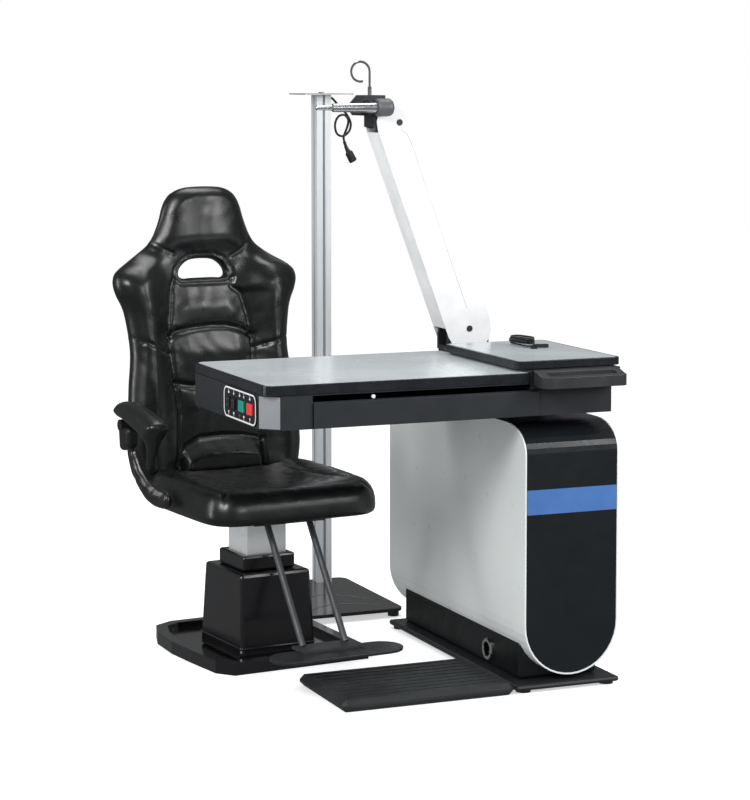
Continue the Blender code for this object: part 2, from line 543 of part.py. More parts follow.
def head():
    """The neck that the links keep level, with the instrument's spindle and the lead hook."""
    x, z = along_arm(LINK_LONG)
    outline = [(x - 0.070, z - 0.012), (x - 0.060, z - 0.0160), (x - 0.030, z - 0.0150)]
    outline += arc(x, z, 0.013, -90, 90, 6) + [(x - 0.070, z + 0.0180)]
    neck = cheeks("arm_neck", outline, BLACK, ((x, z), (x + LEVEL_OFFSET, z)))
    combine(neck, box("neck_bridge", (x - 0.070, ARM_Y - 0.030, z - 0.0120), (x - 0.057, ARM_Y + 0.030, z + 0.0180)),
            "UNION")
    low, high = z + 0.0180 + GAP, z + 0.0720
    left, right, far = x - 0.1110, x - 0.0380, ARM_Y + 0.036
    side_view = [(left + 0.006, low), (x - 0.012, low)] + arc(x, z, 0.0590, 60, 110, 5)
    side_view += [(right, z + 0.0600), (right, high), (left + 0.018, high), (left, high - 0.020), (left, low + 0.008)]
    block = plate("head_block", side_view, ARM_Y - 0.036, far, "Y", BLACK, 0.002)
    lug = box("spindle_lug", (x - 0.097, HEAD_Y + 0.005, HEAD_Z - 0.018), (x - 0.0815, ARM_Y, HEAD_Z + 0.018))
    combine(block, lug, "UNION")
    combine(block, rod("block_groove", (0.5, HEAD_Y, HEAD_Z), 0.0145, 0.4, "X", sides=24))
    turned("head_cap", [(0.0, 0.0470), (0.0120, 0.0465), (0.0190, 0.0430), (0.0228, 0.0370), (0.0238, 0.0290),
                        (0.0238, 0.0030), (0.0215, 0.0), (0.0140, 0.0), (0.0140, 0.0260), (0.0, 0.0260)],
           (0.5200, HEAD_Y, HEAD_Z), "X", GREY_METAL, steps=32)
    turned("spindle", [(0.0, 0.1930), (0.0132, 0.1930), (0.0132, 0.1600), (0.0112, 0.0470),
                       (0.0072, 0.0430), (0.0064, 0.0020), (0.0050, 0.0), (0.0, 0.0)],
           (0.3500, HEAD_Y, HEAD_Z), "X", CHROME)
    stem_x, stem_y, ring = 0.5180, 0.6100, 0.0262
    ring_z, foot_z = 1.5390, high + GAP
    route = [(stem_x, stem_y, foot_z), (stem_x, stem_y, ring_z - 0.012)]
    route += [(stem_x - ring + ring * math.cos(t), stem_y, ring_z + ring * math.sin(t))
              for t in (math.radians(i * 15) for i in range(0, 20))]
    hook = wire("hook", route, 0.0032, CHROME)
    combine(hook, rod("hook_ferrule", (stem_x, stem_y, foot_z + 0.011), 0.0052, 0.022, sides=12), "UNION")


# ---------------------------------------------------------------- patient chair
def chair():
    plan = [(0.238, -0.178), (0.256, 0.310), (0.215, 0.345), (-0.100, 0.345), (-0.155, 0.315)]
    plan += [(-0.184, 0.240), (-0.196, 0.120), (-0.192, 0.000), (-0.183, -0.130), (-0.150, -0.178)]
    inset = [(0.208, -0.150), (0.224, 0.295), (0.205, 0.315), (-0.090, 0.315), (-0.130, 0.295)]
    inset += [(-0.155, 0.225), (-0.166, 0.120), (-0.162, 0.000), (-0.156, -0.120), (-0.135, -0.150)]
    foot = plate("chair_base", plan[::-1], 0.0, 0.034, "Z", BLACK, parent=CHAIR)
    combine(foot, plate("base_recess", inset[::-1], 0.018, 0.05, "Z", parent=CHAIR))
    bevel(foot, 0.010, 2, 25)

    shroud = bevel(tapered("chair_shroud", (0.108, 0.128, 0.018 + GAP), (0.100, 0.112, 0.243), BLACK), 0.008, 2, 30)
    combine(shroud, tapered("shroud_hollow", (0.1045, 0.1245, -0.050), (0.095, 0.107, 0.237)))
    combine(shroud, box("shroud_hole", (-0.0605, -0.0605, 0.2), (0.0605, 0.0605, 0.3), parent=CHAIR))
    collar = box("chair_collar", (-0.077, -0.080, 0.243 + GAP), (0.072, 0.075, 0.284), BLACK, 0.006, CHAIR)
    combine(collar, box("collar_hole", (-0.0605, -0.0605, 0.2), (0.0605, 0.0605, 0.4), parent=CHAIR))
    column = box("chair_column", (-0.0575, -0.0575, 0.040), (0.0575, 0.0575, PAN_BOTTOM - GAP), WHITE, 0.004, CHAIR)
    combine(column, box("chair_column_bore", (-0.0525, -0.0525, 0.0), (0.0525, 0.0525, PAN_BOTTOM - 0.009),
                        parent=CHAIR))
    pan = box("seat_pan", (-0.150, -0.150, PAN_BOTTOM), (0.150, 0.190, SEAT_BOTTOM - GAP), CHARCOAL, 0.003, CHAIR)
    back_bar = [(0.10, PAN_BOTTOM), (0.301, PAN_BOTTOM), (0.3170, 0.4000), (0.3512, 0.7255), (0.3398, 0.7274),
                (0.3034, 0.4330), (0.2960, 0.3955), (0.10, 0.3955)]
    combine(pan, plate("back_bar", back_bar, -0.045, 0.045, "X", parent=CHAIR), "UNION")
    seat()
    backrest()
    armrest()
    footrest()


def tapered(name, low, high, look=None):
    """A four-sided tapered block of the chair, from (half width, half depth, height) at each end."""

    def build(shape):
        bmesh.ops.create_cube(shape, size=2)
        for vert in shape.verts:
            wide, deep, height = low if vert.co.z < 0 else high
            vert.co = (vert.co.x * wide, vert.co.y * deep, height)

    return finish(mesh_object(name, build), look, CHAIR)


def seat():
    corners = rounded(-SEAT_HALF, SEAT_FRONT, SEAT_HALF, SEAT_BACK, 0.080, 6)
    plate("seat_cushion", corners, SEAT_BOTTOM, SEAT_TOP, "Z", LEATHER, 0.022, CHAIR, segments=3)


def mirrored(half):
    """A closed outline from its right half, listed bottom to top."""
    return half + [(-u, h) for u, h in reversed(half)]


def backrest():
    """A padded slab with side wings that stand forward of its middle panel, and a neck opening.
    It lies in the plane of the leaning back: u to the right, h up the slope."""
    half = [(0.205, -0.060), (0.240, -0.040), (0.251, 0.010), (0.2515, 0.050), (0.247, 0.100),
            (0.238, 0.200), (0.231, 0.300), (0.241, 0.400), (0.258, 0.440), (0.268, 0.480), (0.262, 0.505),
            (0.240, 0.526), (0.190, 0.560), (0.158, 0.580), (0.140, 0.605), (0.126, 0.640), (0.110, 0.680),
            (0.098, 0.705), (0.075, 0.725), (0.040, 0.735)]
    window = mirrored([(0.052, 0.486), (0.068, 0.494), (0.069, 0.510), (0.055, 0.530), (0.030, 0.540)])
    panel = mirrored([(0.100, -0.100), (0.108, 0.200), (0.118, 0.330), (0.108, 0.440), (0.085, 0.470),
                      (0.085, 0.530), (0.060, 0.552)])
    frame = bpy.data.objects.new("back_plane", None)
    PARTS.objects.link(frame)
    frame.parent = CHAIR
    frame.location = (0, BACK_V, BACK_Z)
    frame.rotation_euler = (-BACK_LEAN, 0, 0)
    slab = plate("backrest", mirrored(half), 0.0, 0.088, "Y", LEATHER, 0.024, frame, segments=3)
    slab.modifiers["bevel"].angle_limit = math.radians(60)
    combine(slab, plate("panel_hollow", panel, -0.040, 0.026, "Y", parent=frame))
    combine(slab, plate("neck_window", window, -0.100, 0.200, "Y", parent=frame))


def armrest():
    """A bent bar from under the seat to the elbow pivot, and the pad with its grip that turns on it."""
    bar = [(-0.2620, -0.030, 0.3960), (-0.2620, -0.027, 0.4180), (-0.2660, -0.006, 0.4370), (-0.2830, 0.044, 0.4490),
           (-0.2940, 0.076, 0.4760), (-0.3020, 0.103, 0.5250), (-0.3060, 0.120, 0.5700)]
    bracket = wire("armrest_bracket", smooth_route(bar, 0.022), 0.0115, LEATHER, CHAIR, 2)
    strap = box("armrest_strap", (-0.2740, -0.046, 0.3900), (-0.1503, 0.002, 0.3990), parent=CHAIR)
    combine(bracket, strap, "UNION")
    knuckle = box("armrest_knuckle", (-0.326, 0.102, 0.548), (-0.290, 0.1640, 0.6150), None, 0.010, CHAIR)
    combine(bracket, knuckle, "UNION")
    barrel = rod("armrest_barrel", (-0.308, PIVOT_V, ELBOW_Z), 0.0150, 0.036, "X", None, CHAIR)
    combine(bracket, barrel, "UNION")
    side_view = [(PAD_FRONT, 0.6340), (PAD_FRONT + 0.010, 0.6160), (-0.058, 0.6000), (-0.042, 0.5600),
                 (-0.022, 0.5240), (0.000, 0.5240), (-0.010, 0.5500), (-0.016, 0.5960), (0.030, 0.6130),
                 (0.100, 0.6290), (0.120, 0.6335), (PAD_BACK - 0.008, 0.6340), (PAD_BACK, 0.6520)]
    side_view += [(PAD_BACK - 0.008, 0.6720), (0.140, 0.6800), (0.070, 0.6800), (-0.030, 0.6640), (-0.072, 0.6520)]
    pad = plate("armrest_pad", side_view, PAD_U - PAD_HALF, PAD_U + PAD_HALF, "X", LEATHER, 0.009, CHAIR,
                segments=2)
    pad.modifiers["bevel"].angle_limit = math.radians(50)


def footrest():
    top, foot = Vector((0, -0.181, 0.3890)), Vector((0, -0.383, 0.1090))
    spread = 0.060
    bars = wire("footrest_frame", [Vector((-spread, 0, 0)) + foot, Vector((-spread, 0, 0)) + top], 0.0085,
                STEEL, CHAIR, 3)
    right = wire("footrest_right_bar", [Vector((spread, 0, 0)) + foot, Vector((spread, 0, 0)) + top], 0.0085,
                 None, CHAIR, 3)
    combine(bars, right, "UNION")
    clamp = box("footrest_clamp", (-0.100, -0.196, PAN_BOTTOM), (0.100, -0.1503, 0.3990), parent=CHAIR)
    combine(bars, clamp, "UNION")
    combine(bars, box("footrest_foot", (-0.085, -0.440, 0.1043), (0.085, -0.372, 0.1110), parent=CHAIR), "UNION")
    ends = arc(0.125, -0.452, 0.056, -90, 90, 8) + arc(-0.125, -0.452, 0.056, 90, 270, 8)
    plate("footplate", ends, 0.0960, 0.1040, "Z", RUBBER, 0.0015, CHAIR)


# ---------------------------------------------------------------- projector column
PROJECTOR_CORD = 0.0034


def extrusion_outline():
    """A square T-slot profile, one slot in each side."""
    half, mouth, throat, deep, wide = COLUMN_SIDE / 2, 0.0041, 0.0045, 0.0125, 0.0085
    quarter = [(half, -mouth), (half - throat, -mouth), (half - throat, -wide), (half - deep, -0.0040),
               (half - deep, 0.0040), (half - throat, wide), (half - throat, mouth), (half, mouth), (half, half)]
    points = []
    for turn in range(4):
        t = turn * math.pi / 2
        points += [(COLUMN_X + a * math.cos(t) - b * math.sin(t), COLUMN_Y + a * math.sin(t) + b * math.cos(t))
                   for a, b in quarter]
    return points


def projector_column():
    stand = plate("column_base", rounded(0.430, 0.900, 0.746, 1.365, 0.030, 5), 0.016, 0.026, "Z", BLACK, 0.003)
    for i, (x, y) in enumerate(((0.722, 0.928), (0.454, 0.928), (0.722, 1.340), (0.454, 1.340))):
        combine(stand, rod(f"stand_foot_{i}", (x, y, 0.0090), 0.016, 0.018, sides=16), "UNION")
    plate("projector_column", extrusion_outline(), 0.0263, COLUMN_TOP, "Z", ALUMINIUM)
    outline = rounded(COLUMN_X - 0.0755, COLUMN_Y - 0.075, COLUMN_X + 0.0755, COLUMN_Y + 0.075, 0.012, 4)
    plate("projector_tray", outline, COLUMN_TOP + GAP, COLUMN_TOP + 0.0043, "Z", STEEL)
    face = COLUMN_X + COLUMN_SIDE / 2
    exit_z = COLUMN_TOP - 0.0075
    turned("cord_grommet", [(0.0037, 0.0060), (0.0058, 0.0060), (0.0066, GAP), (0.0037, GAP),
                            (0.0037, 0.0060)], (face, COLUMN_Y, exit_z), "X", RUBBER, steps=16)
    start_x = face + 0.0063
    route = [(start_x, 0.0, exit_z), (start_x + 0.009, 0.001, 1.4610), (0.7164, 0.004, 1.4444),
             (0.7350, 0.008, 1.4280), (0.7500, 0.011, 1.4115), (0.7592, 0.009, 1.3905), (0.7540, 0.002, 1.3710),
             (0.7400, -0.005, 1.3575), (0.7238, -0.009, 1.3518), (0.7085, -0.010, 1.3590),
             (0.7029, -0.008, 1.3771), (0.7070, -0.003, 1.3960), (0.7190, 0.000, 1.4110),
             (0.7350, -0.001, 1.4140), (0.7460, -0.003, 1.4020), (0.7470, 0.001, 1.3850), (0.7420, 0.006, 1.3660),
             (0.7375, 0.008, 1.3530), (0.7361, 0.007, 1.3450), (0.7380, 0.006, 1.3330), (0.7410, 0.006, 1.3260)]
    route = [(x, COLUMN_Y + y, z) for x, y, z in route]
    wire("projector_cord", smooth_route(route, 0.0095), PROJECTOR_CORD, RUBBER)
    end = Vector(route[-1])
    lean = math.radians(29)
    connector = turned("projector_connector", [(0.0, 0.0), (0.0048, 0.0), (0.0066, -0.012), (0.0070, -0.017),
                                               (0.0120, -0.023), (0.0125, -0.050), (0.0112, -0.052), (0.0, -0.052)],
                       end + Vector((0.0003, 0, -0.0040)), look=RUBBER, steps=16)
    connector.rotation_euler = (0, -lean, 0)
    connector.scale = (1.0, 0.7, 1.0)


base()
cabinet()
table()
control_panel()
drawer()
slide()
lead()
arm()
chair()
projector_column()
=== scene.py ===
"""Ophthalmic refraction unit: looks, leather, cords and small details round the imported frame.
Metres, +Z up. Places come from the boxes of the CAD nodes."""

import json
import math

import bmesh
import bpy
import numpy as np
from mathutils import Matrix, Vector, geometry


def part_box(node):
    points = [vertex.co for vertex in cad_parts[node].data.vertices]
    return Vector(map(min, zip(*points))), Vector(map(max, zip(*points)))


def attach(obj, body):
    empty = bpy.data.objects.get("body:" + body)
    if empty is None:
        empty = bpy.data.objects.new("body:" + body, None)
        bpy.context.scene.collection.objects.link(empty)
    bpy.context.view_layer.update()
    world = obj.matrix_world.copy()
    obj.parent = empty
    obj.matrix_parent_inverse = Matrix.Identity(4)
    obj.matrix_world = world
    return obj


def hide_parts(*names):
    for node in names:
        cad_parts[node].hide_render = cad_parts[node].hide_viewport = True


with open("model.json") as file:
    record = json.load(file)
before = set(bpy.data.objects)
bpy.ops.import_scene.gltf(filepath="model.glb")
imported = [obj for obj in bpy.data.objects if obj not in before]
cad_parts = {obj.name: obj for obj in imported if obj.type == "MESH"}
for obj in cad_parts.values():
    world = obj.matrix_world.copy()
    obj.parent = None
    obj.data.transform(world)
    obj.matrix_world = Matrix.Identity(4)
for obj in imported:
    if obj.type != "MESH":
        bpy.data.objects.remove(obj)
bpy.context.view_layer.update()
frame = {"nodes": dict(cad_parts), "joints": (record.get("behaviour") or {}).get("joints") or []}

NODES = frame["nodes"]


# ---------------------------------------------------------------- places read from the frame
def low(node):
    return Vector(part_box(node)[0])


def high(node):
    return Vector(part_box(node)[1])


def middle(node):
    return (low(node) + high(node)) / 2


CORNER = Vector((low("top_edging").x, low("top_edging").y, 0))      # near left corner of the table top
CHAIR = Vector((middle("chair_column").x, middle("chair_column").y, 0))
CHAIR_TURN = math.radians(6.0)
CHAIR_FRAME = Matrix.Translation(CHAIR) @ Matrix.Rotation(CHAIR_TURN, 4, "Z")
BACK_LEAN, BACK_V, BACK_Z = math.radians(7.0), 0.222, 0.500
BACK_FRAME = CHAIR_FRAME @ Matrix.Translation((0, BACK_V, BACK_Z)) @ Matrix.Rotation(-BACK_LEAN, 4, "X")
SLIDE_TOP = high("slide_board").z


# ---------------------------------------------------------------- camera
CAMERA_PLACE = (-2.3314, -5.9648, 1.5206)
CAMERA_YAW, CAMERA_PITCH = math.radians(22.622), math.radians(5.0)


def camera():
    data = bpy.data.cameras.new("camera")
    data.lens = 108.71
    data.sensor_width = 36
    data.shift_y = -0.1375
    view = bpy.data.objects.new("camera", data)
    bpy.context.scene.collection.objects.link(view)
    view.location = CAMERA_PLACE
    view.rotation_euler = (math.pi / 2 - CAMERA_PITCH, 0, -CAMERA_YAW)
    bpy.context.scene.camera = view


# ---------------------------------------------------------------- procedural looks
class Look:
    """A Principled material with its own small node graph in object coordinates."""

    def __init__(self, name, colour, roughness, metallic=0.0, coat=0.0, specular=0.5):
        self.material = bpy.data.materials.new(name)
        self.material.use_nodes = True
        self.tree = self.material.node_tree
        self.shader = self.tree.nodes["Principled BSDF"]
        self.place = self.node("ShaderNodeTexCoord").outputs["Object"]
        self.set("Base Color", (*colour, 1))
        self.set("Roughness", roughness)
        self.set("Metallic", metallic)
        self.set("Coat Weight", coat)
        self.set("Coat Roughness", 0.12)
        self.set("Specular IOR Level", specular)
        self.colour, self.roughness = colour, roughness
        self.normal = None

    def node(self, kind, **settings):
        made = self.tree.nodes.new(kind)
        for key, value in settings.items():
            setattr(made, key, value)
        return made

    def set(self, socket, value):
        self.shader.inputs[socket].default_value = value

    def join(self, source, target):
        self.tree.links.new(source, target)

    def noise(self, scale, detail=3.0, rough=0.55, stretch=(1, 1, 1)):
        """Noise whose features are about 1 / scale metres long."""
        mapping = self.node("ShaderNodeMapping")
        mapping.inputs["Scale"].default_value = stretch
        made = self.node("ShaderNodeTexNoise")
        made.inputs["Scale"].default_value = scale
        made.inputs["Detail"].default_value = detail
        made.inputs["Roughness"].default_value = rough
        self.join(self.place, mapping.inputs["Vector"])
        self.join(mapping.outputs["Vector"], made.inputs["Vector"])
        return made.outputs["Fac"]

    def cells(self, scale, feature="F1"):
        made = self.node("ShaderNodeTexVoronoi", feature=feature)
        made.inputs["Scale"].default_value = scale
        self.join(self.place, made.inputs["Vector"])
        return made.outputs["Distance"]

    def spread(self, source, low_value, high_value, start=0.3, end=0.7):
        made = self.node("ShaderNodeMapRange")
        made.inputs["From Min"].default_value = start
        made.inputs["From Max"].default_value = end
        made.inputs["To Min"].default_value = low_value
        made.inputs["To Max"].default_value = high_value
        self.join(source, made.inputs["Value"])
        return made.outputs["Result"]

    def mottle(self, scale, amount, stretch=(1, 1, 1)):
        """Uneven colour: a few percent darker and lighter patches."""
        mix = self.node("ShaderNodeMix", data_type="RGBA")
        self.join(self.spread(self.noise(scale, stretch=stretch), 0, 1), mix.inputs["Factor"])
        mix.inputs["A"].default_value = (*(c * (1 - amount) for c in self.colour), 1)
        mix.inputs["B"].default_value = (*(min(1, c * (1 + amount)) for c in self.colour), 1)
        self.join(mix.outputs["Result"], self.shader.inputs["Base Color"])
        return self

    def smudge(self, scale, amount, stretch=(1, 1, 1)):
        """Uneven gloss."""
        least, most = self.roughness - amount, self.roughness + amount
        values = self.spread(self.noise(scale, stretch=stretch), least, most)
        self.join(values, self.shader.inputs["Roughness"])
        return self

    def bump(self, source, depth, strength=1.0):
        """Adds relief depth metres deep."""
        made = self.node("ShaderNodeBump")
        made.inputs["Strength"].default_value = strength
        made.inputs["Distance"].default_value = depth
        self.join(source, made.inputs["Height"])
        if self.normal is not None:
            self.join(self.normal, made.inputs["Normal"])
        self.normal = made.outputs["Normal"]
        self.join(self.normal, self.shader.inputs["Normal"])
        return self


def enamel(name, colour, roughness=0.30, coat=0.2):
    look = Look(name, colour, roughness, coat=coat).mottle(3, 0.025).smudge(14, 0.05)
    return look.bump(look.noise(1400, 2), 0.00002, 0.5).material


def moulded(name, colour, roughness=0.40, texture=0.00004):
    look = Look(name, colour, roughness).mottle(9, 0.10).smudge(25, 0.07)
    return look.bump(look.cells(2200), texture, 0.6).material


def powder_coat(name, colour, roughness=0.45):
    look = Look(name, colour, roughness, specular=0.4).mottle(6, 0.08).smudge(18, 0.06)
    return look.bump(look.noise(1800, 2), 0.00005, 0.7).material


def laminate(name, colour):
    look = Look(name, colour, 0.26, coat=0.25).mottle(2.5, 0.03).smudge(5, 0.05)
    return look.bump(look.noise(900, 2), 0.00001, 0.4).material


def metal(name, colour, roughness, stretch, depth=0.00001, metallic=1.0):
    look = Look(name, colour, roughness, metallic=metallic)
    look.mottle(60, 0.06, stretch).smudge(90, 0.06, stretch)
    return look.bump(look.noise(700, 3, stretch=stretch), depth, 0.5).material


def leather(name, colour=(0.0042, 0.0048, 0.0050), roughness=0.31):
    """Coated leather: pebble grain, finer pores, soft creases and uneven sheen."""
    look = Look(name, colour, roughness, coat=0.12, specular=0.60).mottle(7, 0.22).smudge(22, 0.06)
    look.set("Coat Roughness", 0.20)
    look.bump(look.noise(24, 4, 0.6), 0.0010, 0.25)
    look.bump(look.noise(85, 3, 0.6), 0.0004, 0.22)
    look.bump(look.cells(620), 0.00016, 0.45)
    return look.bump(look.noise(2400, 2), 0.00006, 0.5).material


def rubber(name, colour=(0.016, 0.017, 0.018), roughness=0.6):
    look = Look(name, colour, roughness, specular=0.35).mottle(12, 0.18).smudge(30, 0.08)
    return look.bump(look.noise(1500, 3), 0.00006, 0.7).material


WHITE, CHARCOAL, BLACK = (0.780, 0.815, 0.805), (0.020, 0.023, 0.027), (0.006, 0.0065, 0.0075)


def node_looks():
    """Every carried-over CAD node and the material it is shown in."""
    side = (1, 1, 12)
    white_shell = enamel("shell_enamel", WHITE, 0.32)
    arm_white = moulded("arm_white", (0.90, 0.905, 0.915), 0.38, 0.00002)
    black_front = powder_coat("front_black", (0.009, 0.011, 0.013), 0.30)
    charcoal = powder_coat("table_charcoal", CHARCOAL, 0.42)
    plain_black = moulded("satin_black", BLACK, 0.36)
    gloss_black = enamel("gloss_black", (0.006, 0.006, 0.007), 0.16, 0.5)
    edging = rubber("edging_rubber", (0.012, 0.014, 0.017), 0.28)
    top = laminate("table_laminate", (0.535, 0.575, 0.590))
    slide_top = laminate("slide_laminate", (0.470, 0.505, 0.520))
    alu = metal("anodised_aluminium", (0.74, 0.76, 0.78), 0.40, (1, 1, 0.05), metallic=0.35)
    steel = metal("zinc_steel", (0.42, 0.43, 0.45), 0.38, side)
    chrome = metal("bright_chrome", (0.72, 0.72, 0.73), 0.12, (1, 1, 1))
    sets = {
        white_shell: ("cabinet_shell", "cabinet_rear"),
        enamel("column_white", (0.82, 0.84, 0.84), 0.28): ("chair_column",),
        arm_white: ("arm_cover_front", "arm_cover_rear"),
        black_front: ("cabinet_front", "cabinet_top"),
        charcoal: ("table_frame", "drawer_box", "drawer_front"),
        powder_coat("floor_plate", (0.018, 0.020, 0.022), 0.36): ("base_plate", "footplate", "seat_pan"),
        plain_black: ("plinth", "arm_bracket", "slide_carriage", "cord_gland", "lead_plug", "power_supply"),
        moulded("head_black", (0.020, 0.021, 0.023), 0.42): ("arm_neck", "head_block", "arm_yoke"),
        gloss_black: ("chair_shroud", "chair_collar", "chair_base", "column_base"),
        edging: ("top_edging", "slide_edging"),
        top: ("table_top",),
        slide_top: ("slide_board",),
        moulded("corner_grey", (0.235, 0.245, 0.265), 0.42): ("corner_plate",),
        moulded("panel_black", (0.007, 0.008, 0.009), 0.30): ("control_panel", "left_rocker", "right_rocker"),
        moulded("key_green", (0.010, 0.290, 0.215), 0.28): ("green_switch",),
        moulded("key_red", (0.780, 0.040, 0.045), 0.28): ("red_switch",),
        moulded("cap_grey", (0.105, 0.110, 0.115), 0.42): ("head_cap",),
        moulded("handle_black", (0.030, 0.032, 0.035), 0.34): ("pull_handle",),
        alu: ("projector_column",),
        metal("tray_aluminium", (0.42, 0.44, 0.45), 0.40, (0.05, 1, 1), metallic=0.5): ("projector_tray",),
        steel: ("lift_outer_column", "lift_inner_column", "main_link", "level_link"),
        chrome: ("port_ring", "hook"),
        metal("turned_steel", (0.74, 0.75, 0.77), 0.22, (0.05, 1, 1)): ("spindle",),
        metal("painted_rods", (0.045, 0.048, 0.052), 0.42, (1, 1, 0.1), metallic=0.25): ("footrest_frame",),
        rubber("mat_rubber", (0.026, 0.029, 0.031), 0.50): ("foot_platform",),
        rubber("cord_rubber", (0.014, 0.014, 0.015), 0.45): ("cord_grommet", "projector_connector"),
    }
    for material, names in sets.items():
        for name in names:
            mesh = NODES[name].data
            mesh.materials.clear()
            mesh.materials.append(material)


# ---------------------------------------------------------------- building tools
def add(name, mesh, material, body, smooth=40):
    """Puts a mesh in the scene in the row frame, riding on a body."""
    obj = bpy.data.objects.new(name, mesh)
    bpy.context.scene.collection.objects.link(obj)
    mesh.materials.append(material)
    mesh.shade_smooth()
    if smooth < 180:
        mesh.set_sharp_from_angle(angle=math.radians(smooth))
    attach(obj, body)
    return obj


def from_bmesh(name, build, matrix=Matrix()):
    shape = bmesh.new()
    build(shape)
    shape.transform(matrix)
    mesh = bpy.data.meshes.new(name)
    shape.to_mesh(mesh)
    shape.free()
    return mesh


def smooth_route(points, spacing):
    """Even points along a smooth curve through the given ones."""
    points = [Vector(p) for p in points]
    ends = [points[0] * 2 - points[1]] + points + [points[-1] * 2 - points[-2]]
    fine = []
    for a, b, c, d in zip(ends, ends[1:], ends[2:], ends[3:]):
        for i in range(24):
            t = i / 24
            fine.append(((2 * b) + (c - a) * t + (2 * a - 5 * b + 4 * c - d) * t ** 2
                         + (3 * b - a - 3 * c + d) * t ** 3) / 2)
    fine.append(points[-1])
    total = sum((b - a).length for a, b in zip(fine, fine[1:]))
    count = max(2, round(total / spacing))
    route, run, step = [fine[0]], 0.0, total / count
    for a, b in zip(fine, fine[1:]):
        run += (b - a).length
        if run >= step * len(route) and len(route) < count:
            route.append(b)
    return route + [fine[-1]]


def line(name, route, radius, material, body, resolution=4, cyclic=False):
    """A round wire, cord or bead as a curve of one spline."""
    curve = bpy.data.curves.new(name, "CURVE")
    curve.dimensions = "3D"
    curve.bevel_depth = radius
    curve.bevel_resolution = resolution
    curve.use_fill_caps = True
    run = curve.splines.new("POLY")
    run.points.add(len(route) - 1)
    run.use_cyclic_u = cyclic
    run.use_smooth = True
    for point, place in zip(run.points, route):
        point.co = (*place, 1)
    curve.materials.append(material)
    obj = bpy.data.objects.new(name, curve)
    bpy.context.scene.collection.objects.link(obj)
    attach(obj, body)
    return obj


def rounded(left, bottom, right, top, radius, steps=6):
    """A rectangle's outline with round corners."""
    points = []
    for a, b, start in ((right - radius, bottom + radius, -90), (right - radius, top - radius, 0),
                        (left + radius, top - radius, 90), (left + radius, bottom + radius, 180)):
        for i in range(steps + 1):
            t = math.radians(start + 90 * i / steps)
            points.append((a + radius * math.cos(t), b + radius * math.sin(t)))
    return points


def tile(name, outline, thick, matrix, material, body, edge=0.0, hole=None):
    """A flat outline made thick along its own +Z, placed by matrix; hole is an outline cut out of it."""
    curve = bpy.data.curves.new(name, "CURVE")
    curve.dimensions = "2D"
    curve.fill_mode = "BOTH"
    curve.extrude = thick / 2
    curve.bevel_depth = edge
    for ring in ([outline] if hole is None else [outline, hole]):
        run = curve.splines.new("POLY")
        run.points.add(len(ring) - 1)
        run.use_cyclic_u = True
        for point, (a, b) in zip(run.points, ring):
            point.co = (a, b, 0, 1)
    helper = bpy.data.objects.new(name + "_outline", curve)
    bpy.context.scene.collection.objects.link(helper)
    mesh = bpy.data.meshes.new_from_object(helper.evaluated_get(bpy.context.evaluated_depsgraph_get()))
    bpy.data.objects.remove(helper, do_unlink=True)
    mesh.materials.clear()
    mesh.transform(matrix @ Matrix.Translation((0, 0, thick / 2)))
    shape = bmesh.new()
    shape.from_mesh(mesh)
    bmesh.ops.remove_doubles(shape, verts=shape.verts, dist=0.000005)
    bmesh.ops.recalc_face_normals(shape, faces=shape.faces)
    shape.to_mesh(mesh)
    shape.free()
    return add(name, mesh, material, body)


def disc(name, centre, axis, radius, thick, material, body, segments=32):
    """A short round button with a softened rim: centre is the middle of its back face."""
    turn = Vector((0, 0, 1)).rotation_difference(Vector(axis)).to_matrix().to_4x4()

    def build(shape):
        bmesh.ops.create_cone(shape, cap_ends=True, segments=segments, radius1=radius, radius2=radius,
                              depth=thick)
        rim = [e for e in shape.edges if all(v.co.z > 0 for v in e.verts)]
        bmesh.ops.bevel(shape, geom=rim, offset=min(thick, radius) * 0.35, segments=3, affect="EDGES")

    matrix = Matrix.Translation(Vector(centre)) @ turn @ Matrix.Translation((0, 0, thick / 2))
    return add(name, from_bmesh(name, build, matrix), material, body)


# ---------------------------------------------------------------- upholstery
def polyline_distance(points, path, closed=False):
    """Distance of each 2D point to a path, and how far along the path the nearest place is."""
    path = np.asarray(path, float)
    if closed:
        path = np.vstack([path, path[:1]])
    best = np.full(len(points), 1e9)
    along = np.zeros(len(points))
    run = 0.0
    for a, b in zip(path, path[1:]):
        step = b - a
        size = float(np.hypot(*step))
        if size < 1e-9:
            continue
        t = np.clip(((points - a) @ step) / size ** 2, 0, 1)
        gap = np.hypot(*(points - a - t[:, None] * step).T)
        closer = gap < best
        best[closer] = gap[closer]
        along[closer] = (run + t * size)[closer]
        run += size
    return best, along


def inside(points, outline):
    """Which 2D points lie inside a closed outline."""
    outline = np.asarray(outline, float)
    count = np.zeros(len(points), int)
    for (ax, ay), (bx, by) in zip(outline, np.roll(outline, -1, axis=0)):
        if ay == by:
            continue
        crosses = (points[:, 1] < ay) != (points[:, 1] < by)
        where = ax + (points[:, 1] - ay) * (bx - ax) / (by - ay)
        count += crosses & (points[:, 0] < where)
    return count % 2 == 1


